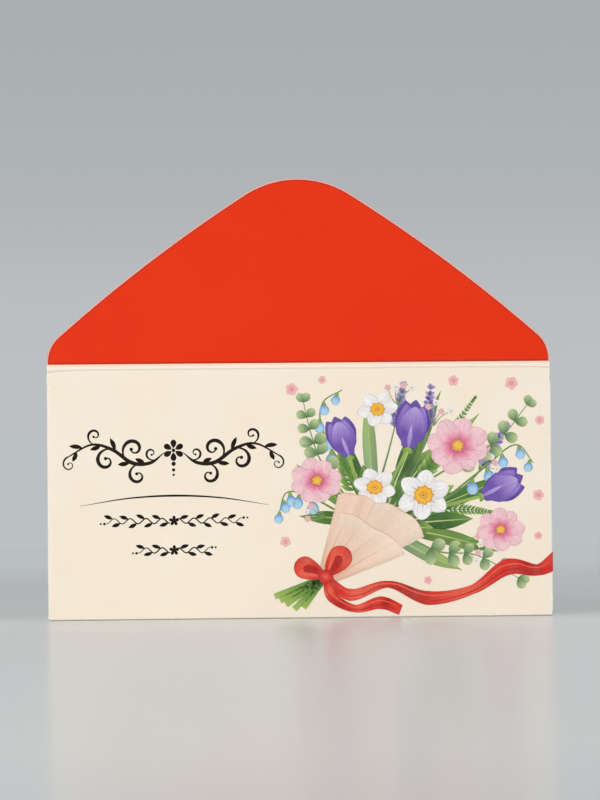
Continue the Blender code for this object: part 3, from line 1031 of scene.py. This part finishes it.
def drawBells(sheet):
    look = {
        "routes": [[(0.102, 0.04), (0.0905, 0.06), (0.09, 0.07), (0.0965, 0.0745)],
                   [(0.123, 0.033), (0.142, 0.048), (0.153, 0.056), (0.159, 0.05)],
                   [(0.096, 0.034), (0.085, 0.04), (0.078, 0.041), (0.0755, 0.0345)]],
        "bells": [0.43, 0.565, 0.7, 0.835, 0.97], "size": 0.0048, "stem": [0.0007, 0.0005, 0.0003],
        "dark": (66, 136, 204), "mid": (110, 182, 232), "light": (178, 220, 244),
        "sides": [(-1, "dark mid light dark"), (1, "dark mid light dark"), (0, "dark light light dark")],
        "form": {"peak": 0.62, "tip": 0.9, "foot": 0.4, "edge": 0.7, "steps": 8},
        "shrink": 0.4, "swing": 16, "hookOut": 0.35, "hookDown": 0.25, "hook": [0.0003, 0.0003],
        "bellWidth": 0.62, "spread": 15, "curl": 0.1, "cap": 0.17,
    }
    for route in look["routes"]:
        sheet["layer"] = 40
        line = addStroke(sheet, route, look["stem"], inksOf(greens, "stem mid"), 80)
        run = np.cumsum(np.linalg.norm(np.diff(line, axis=0), axis=1))
        for share in look["bells"]:
            place = line[int(np.searchsorted(run, share * run[-1]))]
            lean = 180 + random.uniform(-look["swing"], look["swing"])
            size = look["size"] * (1.12 - look["shrink"] * share)
            out = size * look["hookOut"] * math.sin(math.radians(lean))
            hook = (place[0] + out, place[1] - size * look["hookDown"])
            addStroke(sheet, [place, hook], look["hook"], inksOf(greens, "stem stem"), 5)
            for side, tones in look["sides"]:
                addPetal(sheet, hook, lean + side * look["spread"], size, size * look["bellWidth"],
                         inksOf(look, tones), curl=-side * look["curl"], **look["form"])
            addDisc(sheet, hook, size * look["cap"], inksOf(greens, "light stem"), rings=2, sides=10)
            sheet["layer"] = 42


def drawLavender(sheet):
    look = {
        "routes": [[(0.112, 0.033), (0.123, 0.056), (0.1255, 0.0745)],
                   [(0.118, 0.033), (0.138, 0.044), (0.15, 0.062)],
                   [(0.105, 0.033), (0.112, 0.056), (0.1165, 0.0755)]],
        "whorls": 9, "bud": 0.0026, "stem": [0.0008, 0.0005, 0.0003], "start": 0.66, "shrink": 0.55,
        "leans": (-52, -18, 18, 52), "swing": 10, "budWidth": 0.55,
        "form": {"peak": 0.6, "tip": 0.6, "foot": 0.2, "edge": 0.6, "steps": 6},
        "dark": (110, 88, 172), "light": (184, 164, 222), "calyx": (134, 140, 156),
    }
    for route in look["routes"]:
        sheet["layer"] = 34
        line = addStroke(sheet, route, look["stem"], inksOf(greens, "deep sage"), 50)
        for whorl in range(look["whorls"]):
            place, turn = onLine(line, look["start"] + (1 - look["start"]) * whorl / (look["whorls"] - 1))
            size = look["bud"] * (1.15 - look["shrink"] * whorl / look["whorls"])
            sheet["layer"] = 35 + whorl % 4
            for lean in look["leans"]:
                inks = inksOf(look, f"calyx {random.choice(['dark', 'light', 'light'])} light dark")
                lean += random.uniform(-look["swing"], look["swing"])
                length, width = size * random.uniform(0.85, 1.15), size * look["budWidth"]
                addPetal(sheet, place, turn + lean, length, width, inks, **look["form"])
                sheet["layer"] -= 1


def drawMist(sheet):
    # sprays of tiny white and pink flowers on hair-thin twigs
    look = {
        "roots": [(0.1265, 0.0625, 18), (0.141, 0.048, 58), (0.1085, 0.064, -30), (0.134, 0.023, 98),
                  (0.0905, 0.033, -62), (0.115, 0.069, 4)],
        "twigs": [-34, -12, 10, 32], "reach": 0.0068, "twig": [0.00035, 0.00025, 0.0002], "flower": 0.0009,
        "white": (255, 252, 246), "rim": (206, 196, 186), "pink": (250, 196, 200),
        "pinkRim": (228, 140, 150), "dot": (250, 206, 110),
        "form": {"peak": 0.6, "tip": 0.5, "edge": 0.7, "steps": 5},
        "bend": 0.2, "petalLong": 1.25, "petalWide": 1.1, "eye": 0.34,
    }
    for x, y, turn in look["roots"]:
        sheet["layer"] = 52
        for index, lean in enumerate(look["twigs"]):
            reach = look["reach"] * random.uniform(0.75, 1.2)
            angle = math.radians(turn + lean)
            end = (x + reach * math.sin(angle), y + reach * math.cos(angle))
            half, before = reach / 2, angle - look["bend"]
            middle = (x + half * math.sin(before), y + half * math.cos(before))
            addStroke(sheet, [(x, y), middle, end], look["twig"], inksOf(greens, "stem sage"), 8)
            inks = inksOf(look, "white white rim" if index % 2 else "pink pink pinkRim")
            length, width = look["flower"] * look["petalLong"], look["flower"] * look["petalWide"]
            for petal in range(5):
                addPetal(sheet, end, 72 * petal + lean, length, width, inks, **look["form"])
                sheet["layer"] -= 1
            sheet["layer"] += 1
            addDisc(sheet, end, look["flower"] * look["eye"], inksOf(look, "dot dot"), rings=2, sides=8)
            sheet["layer"] -= 2


def drawPaper(sheet):
    # peach paper rolled round the stems, with the stems' ends below it
    look = {
        "light": (255, 234, 212), "mid": (253, 220, 194), "fold": (238, 186, 154),
        "ends": [(0.0775, 0.0045), (0.0802, 0.003), (0.0738, 0.0072), (0.0756, 0.0058), (0.0832, 0.0034)],
        "sheets": [((0.1228, 0.0262), (0.1072, 0.0372), 0.2, "light"),
                   ((0.1072, 0.0372), (0.0948, 0.04), 0.1, "mid"),
                   ((0.1165, 0.0205), (0.0958, 0.034), 0.0, "light")],
        "stem": [0.0022, 0.0018, 0.0019], "lip": [0.0001, 0.00035, 0.0002], "waist": (0.0042, 0.0046),
        "creases": [0.18, 0.42, 0.66, 0.88], "crease": [0.0001, 0.0003, 0.0005], "steps": 12,
        "creaseRim": ((0.1165, 0.0218), (0.0958, 0.0353)), "creaseWaist": (0.0036, 0.004),
        "swell": 0.1, "bowSwell": 0.4, "wave": 0.03, "ripple": 0.1, "startShade": 0.88, "endShade": 0.94,
    }
    tie, stemInks = spray["tie"], inksOf(greens, "deep mid light")
    for end in look["ends"]:
        addStroke(sheet, [tie, between(tie, end, 0.5), end], look["stem"], stemInks, 10)
        sheet["layer"] -= 1
    sheet["layer"] = 94
    share = np.linspace(0, 1, look["steps"])
    down = share[:, None]
    for low, high, bow, tone in look["sheets"]:
        outward = np.array((high[1] - low[1], low[0] - high[0]))
        swell = (look["swell"] + bow * look["bowSwell"]) * np.sin(np.pi * share)
        swell += look["wave"] * np.sin(9 * share)
        lip = np.array(low) * (1 - down) + np.array(high) * down + outward * swell[:, None]
        waist = np.array(tie) + (0.5 - down) * look["waist"] * np.array((1, -1))
        places = lip * (1 - down[..., None]) + waist * down[..., None]
        colours = alongInks(share, inksOf(look, tone + " mid fold"), look["steps"])
        ripple = 1 - look["ripple"] * (0.5 + 0.5 * np.cos(share * 15 + bow * 30)) * down ** 0.5
        colours[..., :3] *= ripple[..., None]
        colours[:, -1, :3] *= look["endShade"]
        colours[:, 0, :3] *= look["startShade"]
        addPatch(sheet, places, colours, gridOf(down * 0.4, share * 0.3, bow * 40))
        addStroke(sheet, [*lip[::3], lip[-1]], look["lip"], inksOf(look, "fold fold"), 20)
    for crease in look["creases"]:
        rim, waist = between(*look["creaseRim"], crease), look["creaseWaist"]
        end = (tie[0] + (0.5 - crease) * waist[0], tie[1] + (crease - 0.5) * waist[1])
        middle = between(rim, end, 0.5)
        addStroke(sheet, [rim, (middle[0], middle[1] + 0.0004), end], look["crease"],
                  inksOf(look, "mid fold fold"), 12)
        sheet["layer"] -= 1


def drawRibbon(sheet):
    # satin bow on the tie, with one long tail that runs over the right-hand side fold
    look = {
        "tails": [([(0.0905, 0.0135), (0.0985, 0.0075), (0.111, 0.0108), (0.124, 0.0062), (0.1385, 0.0088),
                    (0.15, 0.016), (0.16, 0.015), (0.1668, 0.0185)],
                   [0.002, 0.004, 0.0022, 0.0046, 0.003, 0.0054, 0.0036, 0.006]),
                  ([(0.0905, 0.0135), (0.0925, 0.007), (0.1, 0.003), (0.1085, 0.0048), (0.115, 0.0024)],
                   [0.002, 0.0036, 0.0024, 0.0042, 0.0034])],
        "loops": [(38, 0.0118), (-66, 0.011)],
        "dark": (186, 22, 16), "mid": (228, 38, 22), "light": (244, 98, 70),
        "wave": "dark mid light mid dark mid light mid mid dark mid mid", "steps": 320, "columns": 17,
        "stripes": [(-0.16, "dark dark"), (0.18, "light light")], "every": 20,
        "stripe": [0.0001, 0.0005, 0.0003, 0.0005, 0.0002],
        "knot": 0.0026, "knotForm": {"lobes": 4, "depth": 0.07, "squash": 0.9, "turn": 20},
        "folds": [
            (0, 1, 0.66, "dark mid light mid dark",
             {"peak": 0.66, "tip": 0.5, "foot": 0.25, "edge": 0.8, "halves": 0.12, "steps": 12}),
            (0, 0.72, 0.3, "dark dark dark mid",
             {"peak": 0.7, "tip": 0.55, "foot": 0.2, "edge": 0.5, "steps": 10}),
            (-16, 0.86, 0.1, "light light mid", {"peak": 0.6, "tip": 1.0, "edge": 0.2, "steps": 8}),
        ],
    }
    for route, widths in look["tails"]:
        line = addStroke(sheet, route, widths, inksOf(look, look["wave"]), look["steps"], look["columns"])
        spread = widthsAlong(widths, len(line))
        for shift, tones in look["stripes"]:
            stripe = line + sideways(line) * (spread * shift)[:, None]
            addStroke(sheet, stripe[look["every"]::look["every"]], look["stripe"], inksOf(look, tones),
                      look["steps"])
    knot = spray["tie"]
    for turn, length in look["loops"]:
        for lean, part, width, tones, form in look["folds"]:
            addPetal(sheet, knot, turn + lean, length * part, length * width, inksOf(look, tones), **form)
    addDisc(sheet, knot, look["knot"], inksOf(look, "light mid dark"), **look["knotForm"])


def drawBlossoms(sheet):
    # loose little blossoms round the spray
    look = {
        "places": [(0.08, 0.0748, 0.0021, 10), (0.09, 0.0778, 0.0014, 40), (0.133, 0.0772, 0.0018, 0),
                   (0.152, 0.0762, 0.0022, 25), (0.1612, 0.064, 0.0016, 50), (0.1605, 0.0395, 0.0019, 15),
                   (0.0775, 0.025, 0.0018, 35), (0.1603, 0.0262, 0.0014, 5), (0.124, 0.012, 0.0014, 22)],
        "dark": (232, 134, 142), "light": (252, 196, 194), "heart": (250, 210, 120),
        "form": {"peak": 0.66, "tip": 0.42, "foot": 0.1, "teeth": 0.1, "edge": 0.9, "steps": 8},
        "width": 0.84, "eye": 0.22,
    }
    inks = inksOf(look, "dark light light dark")
    for x, y, reach, turn in look["places"]:
        sheet["layer"] = 0
        for petal in range(5):
            addPetal(sheet, (x, y), turn + 72 * petal, reach, reach * look["width"], inks, **look["form"])
        addDisc(sheet, (x, y), reach * look["eye"], inksOf(look, "heart dark"), rings=2, sides=10)


penTone = [linear(40, 29, 20), linear(24, 17, 12)]
penLeafTone = [penTone[0], penTone[1], penTone[1], penTone[0]]


def curlOff(start, heading, hand, size, look):
    # spiral that leaves its start along the heading and curls to the left (hand 1) or right (hand -1)
    begin = heading - math.atan2(hand, -look["fall"])
    centre = (start[0] - size * math.cos(begin), start[1] - size * math.sin(begin))
    route = []
    for swing in evenSteps(0, look["sweep"], look["curlSteps"]):
        reach = size * math.exp(-look["fall"] * swing)
        angle = begin + hand * swing
        route.append((centre[0] + reach * math.cos(angle), centre[1] + reach * math.sin(angle)))
    return route


def drawFlourish(sheet):
    # pen flourish: a blossom, and on both sides a waved stem with scrolls and leaves that curl off it
    look = {
        "middle": 0.0412,
        "stem": [(0.003, 0.0545), (0.0075, 0.0512), (0.0135, 0.0512), (0.02, 0.0556), (0.0268, 0.0572),
                 (0.0346, 0.0532)],
        "stemWidths": [0.0002, 0.0011, 0.0013, 0.0011, 0.0007, 0.0004],
        "scrolls": [(0.12, 1, 0.0026, 10), (0.34, -1, 0.0038, 12), (0.47, 1, 0.0043, 16),
                    (0.62, -1, 0.0042, 14), (0.78, 1, 0.003, 18), (1.0, -1, 0.0026, 0)],
        "scrollWidths": [0.0004, 0.0013, 0.0011, 0.0006, 0.0004], "fullScroll": 0.0045,
        "fall": 0.22, "sweep": 7.0, "curlSteps": 26,
        "leaves": [(0.27, 1, 0.0036), (0.42, -1, 0.0042), (0.58, 1, 0.0046), (0.72, -1, 0.0038),
                   (0.88, 1, 0.0044), (0.93, -1, 0.0034)],
        "leafWidth": 0.0015, "bead": 0.0006, "petal": 0.0027, "petalWidth": 0.0019, "eye": 0.0008,
        "blossom": 0.0552, "drops": [(0.0508, 0.0007), (0.0488, 0.00055), (0.0472, 0.0004)],
        "leafForm": {"peak": 0.55, "tip": 1.1, "edge": 0.2, "steps": 12}, "leafLean": 46, "leafCurl": 0.16,
        "petalForm": {"peak": 0.6, "tip": 0.6, "foot": 0.2, "edge": 0.2, "steps": 11},
    }
    middle = look["middle"]
    for side in (1, -1):
        stem = [(middle + side * x, y) for x, y in look["stem"]]
        line = addStroke(sheet, stem, look["stemWidths"], penTone, 80)
        last = len(line) - 1
        for share, hand, size, outward in look["scrolls"]:
            here = min(max(int(share * last), 1), last)
            before, after = line[here - 1], line[min(here + 1, last)]
            heading = math.radians(90 - towards(before, after) + side * hand * outward)
            route = curlOff(line[here], heading, side * hand, size, look)
            scale = min(size / look["fullScroll"], 1)
            widths = look["scrollWidths"] if share < 1 else look["scrollWidths"][2:]
            addStroke(sheet, route, [width * scale for width in widths], penTone, 80)
            addDisc(sheet, route[-1], look["bead"] * scale, penTone, rings=3, sides=16)
        for share, hand, size in look["leaves"]:
            place, turn = onLine(line, share, 1, 1)
            hand *= side
            addPetal(sheet, place, turn - hand * look["leafLean"], size, look["leafWidth"], penLeafTone,
                     curl=hand * look["leafCurl"], **look["leafForm"])
            sheet["layer"] -= 1
    for turn in range(0, 360, 60):
        foot = (middle + look["eye"] * math.sin(math.radians(turn)),
                look["blossom"] + look["eye"] * math.cos(math.radians(turn)))
        addPetal(sheet, foot, turn, look["petal"], look["petalWidth"], penLeafTone, **look["petalForm"])
        sheet["layer"] -= 1
    addDisc(sheet, (middle, look["blossom"]), look["bead"], penTone, rings=3, sides=16)
    for up, reach in look["drops"]:
        addDisc(sheet, (middle, up), reach, penTone, rings=3, sides=20)


def drawRule(sheet):
    # thin rule that swells in the middle, under the flourish
    look = {
        "route": [(0.0105, 0.0372), (0.026, 0.0396), (0.0412, 0.0404), (0.0565, 0.0396), (0.072, 0.0372)],
        "widths": [0.0001, 0.00045, 0.0007, 0.00045, 0.0001],
    }
    addStroke(sheet, look["route"], look["widths"], penTone, 80)


def drawVines(sheet):
    # two short vines: a waved line with a leaf in every bend, a blossom in its middle and beads at its ends
    look = {
        "rows": [(0.0322, 4), (0.0226, 2)], "middle": 0.0412, "start": 0.0014, "wave": 0.0104,
        "rise": 0.00085, "stroke": [0.00042, 0.00042, 0.000252], "petal": 0.0017, "leafAt": 0.185,
        "leaf": 0.0031, "leafWidth": 0.00125, "beads": [(0.0006, 0.00045), (0.0018, 0.0003375)],
        "leafForm": {"peak": 0.5, "tip": 1.0, "edge": 0.1, "steps": 10}, "leafLean": 52, "leafCurl": 0.1,
        "petalForm": {"peak": 0.62, "tip": 0.6, "edge": 0.1, "steps": 9}, "petalWidth": 0.62,
        "lastLeaf": 0.97,
    }
    middle, start, wave = look["middle"], look["start"], look["wave"]
    for up, waves in look["rows"]:
        half = wave * (waves + 0.25) / 2
        for side in (1, -1):
            rise = side * look["rise"]
            route = [(middle + side * along, up + rise * math.sin(4 * math.pi * along / wave))
                     for along in evenSteps(start, half, waves * 8)]
            line = addStroke(sheet, route, look["stroke"], penTone, 90)
            for bend in range(waves * 2):
                share = (wave * (bend / 4 + look["leafAt"]) - start) / (half - start)
                if not 0 < share < look["lastLeaf"]:
                    continue
                place, turn = onLine(line, share, 2, 1)
                hand = 1 if bend % 2 else -1
                sheet["layer"] = 2
                addPetal(sheet, place, turn + hand * look["leafLean"], look["leaf"], look["leafWidth"],
                         penLeafTone, curl=-hand * look["leafCurl"], **look["leafForm"])
            for out, reach in look["beads"]:
                addDisc(sheet, (line[-1][0] + side * out, line[-1][1]), reach, penTone, rings=3, sides=14)
        for petal in range(5):
            sheet["layer"] = 4
            addPetal(sheet, (middle, up), 72 * petal, look["petal"], look["petal"] * look["petalWidth"],
                     penLeafTone, **look["petalForm"])


painted = [
    ("leafPrint", drawLeaves, 0), ("sprigPrint", drawSprigs, 30), ("fernPrint", drawFerns, 24),
    ("tulipPrint", drawTulips, 0), ("cosmosPrint", drawCosmos, 0), ("narcissusPrint", drawNarcissi, 0),
    ("bellPrint", drawBells, 0), ("lavenderPrint", drawLavender, 0), ("mistPrint", drawMist, 0),
    ("paperPrint", drawPaper, 92), ("ribbonPrint", drawRibbon, 104), ("blossomPrint", drawBlossoms, 0),
]
penned = [("flourishPrint", drawFlourish, 0), ("rulePrint", drawRule, 0), ("vinePrint", drawVines, 0)]
for name, draw, layer in painted:
    makePrint(name, draw, layer, watercolour)
for name, draw, layer in penned:
    makePrint(name, draw, layer, darkInk)


# Stage, light and camera

def addRamp(tree, value, stops):
    # stops are (position, colour), low to high
    ramp = addNode(tree, "ValToRGB", {"Fac": value})
    elements = ramp.color_ramp.elements
    for index, (position, colour) in enumerate(stops):
        element = elements[index] if index < 2 else elements.new(position)
        element.position = position
        element.color = linear(*colour)
    return ramp.outputs["Color"]


def mixShaders(tree, share, first, second):
    return addNode(tree, "MixShader", {0: share, 1: first.outputs[0], 2: second.outputs[0]})


def stagePlane(name, width, length, shaderTree):
    bpy.ops.mesh.primitive_plane_add(size=1)
    plane = bpy.context.object
    plane.name = name
    plane.scale = (width, length, 1)
    material = bpy.data.materials.new(name)
    material.use_nodes = True
    tree = material.node_tree
    tree.nodes.remove(tree.nodes["Principled BSDF"])
    place = addNode(tree, "TexCoord", {}).outputs["Generated"]
    ways = addNode(tree, "SeparateXYZ", {"Vector": place}).outputs
    shader = shaderTree(tree, ways)
    tree.links.new(shader.outputs[0], tree.nodes["Material Output"].inputs["Surface"])
    plane.data.materials.append(material)
    return plane


# the matt and glow tones are painted light and shade for the lamps' falloff and the envelope's shadow
# behind it
tableLook = {
    "matt": [(-0.8, (188, 191, 192)), (-0.6, (214, 217, 215)), (-0.45, (223, 225, 223)),
             (-0.18, (241, 243, 241)), (-0.05, (244, 248, 247)), (0.05, (224, 227, 224)),
             (0.4, (226, 229, 228))],
    "glow": [(0.25, (174, 177, 178)), (0.35, (179, 182, 182)), (0.62, (192, 195, 195)),
             (1.00, (203, 208, 207)), (1.6, (202, 207, 208))],
    "share": [(-1.3, (255, 255, 255)), (-0.8, (0, 0, 0)), (0.22, (0, 0, 0)), (0.7, (255, 255, 255))],
    "sides": [(-1.3, (255, 255, 255)), (-0.35, (0, 0, 0)), (0.35, (0, 0, 0)), (1.3, (255, 255, 255))],
    "gloss": 0.52, "ior": 1.45, "roughness": 0.18, "reach": 1.8,
}


def makeTable():
    # the sheet is lit by the lamps around the envelope and further off glows in place of lamp light, and it
    # mirrors more the flatter it is looked at. Its matt tones are painted darker towards the camera and in
    # a band just behind the envelope, and the glow darker nearest the envelope, as painted light and shade
    # for the lamps' falloff and the envelope's shadow
    look, reach = tableLook, tableLook["reach"]

    def shader(tree, ways):
        def tones(name, way):
            stops = [((place + reach) / (2 * reach), tone) for place, tone in look[name]]
            return addRamp(tree, ways[way], stops)

        matt = addNode(tree, "BsdfDiffuse", {"Color": tones("matt", "Y")})
        glow = addNode(tree, "Emission", {"Color": tones("glow", "Y")})
        far = addMath(tree, "MAXIMUM", tones("share", "Y"), tones("sides", "X"))
        gloss = addNode(tree, "BsdfGlossy", {"Roughness": look["roughness"]})
        fresnel = addNode(tree, "Fresnel", {"IOR": look["ior"]}).outputs["Fac"]
        mirror = addMath(tree, "MULTIPLY", fresnel, look["gloss"])
        return mixShaders(tree, mirror, mixShaders(tree, far, matt, glow), gloss)

    table = stagePlane("tableTop", 2 * reach, 2 * reach, shader)
    table.location = (0, 0, tableTop)


backdropLook = {
    "height": 2.2, "width": 3.6, "behind": 1.8,
    "tones": [(0.0, (188, 193, 194)), (0.038, (187, 192, 194)), (0.122, (189, 193, 196)),
              (0.206, (186, 190, 193)), (0.29, (177, 181, 184)), (0.4, (171, 177, 178)),
              (0.457, (169, 174, 176))],
}


def makeBackdrop():
    look = backdropLook

    def shader(tree, ways):
        stops = [(height / look["height"], tone) for height, tone in look["tones"]]
        return addNode(tree, "Emission", {"Color": addRamp(tree, ways["Y"], stops)})

    backdrop = stagePlane("backdrop", look["width"], look["height"], shader)
    backdrop.rotation_euler = (math.pi / 2, 0, 0)
    backdrop.location = (0, look["behind"], tableTop + look["height"] / 2)


lampLook = {
    "key": {"place": (-0.62, -1.18, 0.58), "size": 0.6, "power": 9.1},
    "fill": {"place": (0.85, -1.15, 0.45), "size": 0.8, "power": 4.9},
    "top": {"place": (0.0, -0.1, 1.25), "size": 1.2, "power": 2.6},
    # stands behind the envelope for its back, and no gloss shows it
    "rear": {"place": (0.35, 1.45, 0.3), "size": 0.9, "power": 8.5, "hidden": True},
}
lampTarget = Vector((0, 0, 0.05))


def makeLamps():
    for name, look in lampLook.items():
        lamp = bpy.data.lights.new(name, "AREA")
        lamp.shape = "SQUARE"
        lamp.size = look["size"]
        lamp.energy = look["power"]
        holder = bpy.data.objects.new(name, lamp)
        holder.location = look["place"]
        holder.rotation_euler = (lampTarget - holder.location).to_track_quat("-Z", "Y").to_euler()
        holder.visible_camera = False
        holder.visible_glossy = not look.get("hidden", False)
        scene.collection.objects.link(holder)


roomLook = {"seen": linear(189, 193, 196), "light": linear(235, 238, 242), "lightStrength": 0.34}


def makeRoom():
    # the room lights the card softly, and the camera and the gloss see a plain pale grey
    look = roomLook
    world = bpy.data.worlds.new("room")
    world.use_nodes = True
    tree = world.node_tree
    light = tree.nodes["Background"]
    light.inputs["Color"].default_value = look["light"]
    light.inputs["Strength"].default_value = look["lightStrength"]
    seen = addNode(tree, "Background", {"Color": look["seen"], "Strength": 1})
    path = addNode(tree, "LightPath", {}).outputs
    either = addMath(tree, "MAXIMUM", path["Is Camera Ray"], path["Is Glossy Ray"])
    mix = mixShaders(tree, either, light, seen)
    tree.links.new(mix.outputs["Shader"], tree.nodes["World Output"].inputs["Surface"])
    scene.world = world


cameraLook = {
    "place": (-0.04097, -1.15, 0.02808), "yaw": 2.053, "pitch": 1.605, "roll": -0.55,
    "focalPixels": 3515.1, "tallPixels": 800, "sensor": 36, "nearest": 0.01, "farthest": 20,
}


def makeCamera():
    look = cameraLook
    camera = bpy.data.cameras.new("camera")
    camera.sensor_fit = "AUTO"
    camera.sensor_width = look["sensor"]
    camera.lens = look["focalPixels"] / look["tallPixels"] * look["sensor"]
    camera.clip_start = look["nearest"]
    camera.clip_end = look["farthest"]
    holder = bpy.data.objects.new("camera", camera)
    holder.location = look["place"]
    lean = Euler((math.radians(90 + look["pitch"]), 0, math.radians(-look["yaw"])), "XYZ").to_matrix()
    roll = Euler((0, 0, math.radians(look["roll"])), "XYZ").to_matrix()
    holder.rotation_euler = (lean @ roll).to_euler()
    scene.collection.objects.link(holder)
    scene.camera = holder


makeTable()
makeBackdrop()
makeLamps()
makeRoom()
makeCamera()
scene.view_settings.view_transform = "Standard"
print("Stage, lamps and camera set")
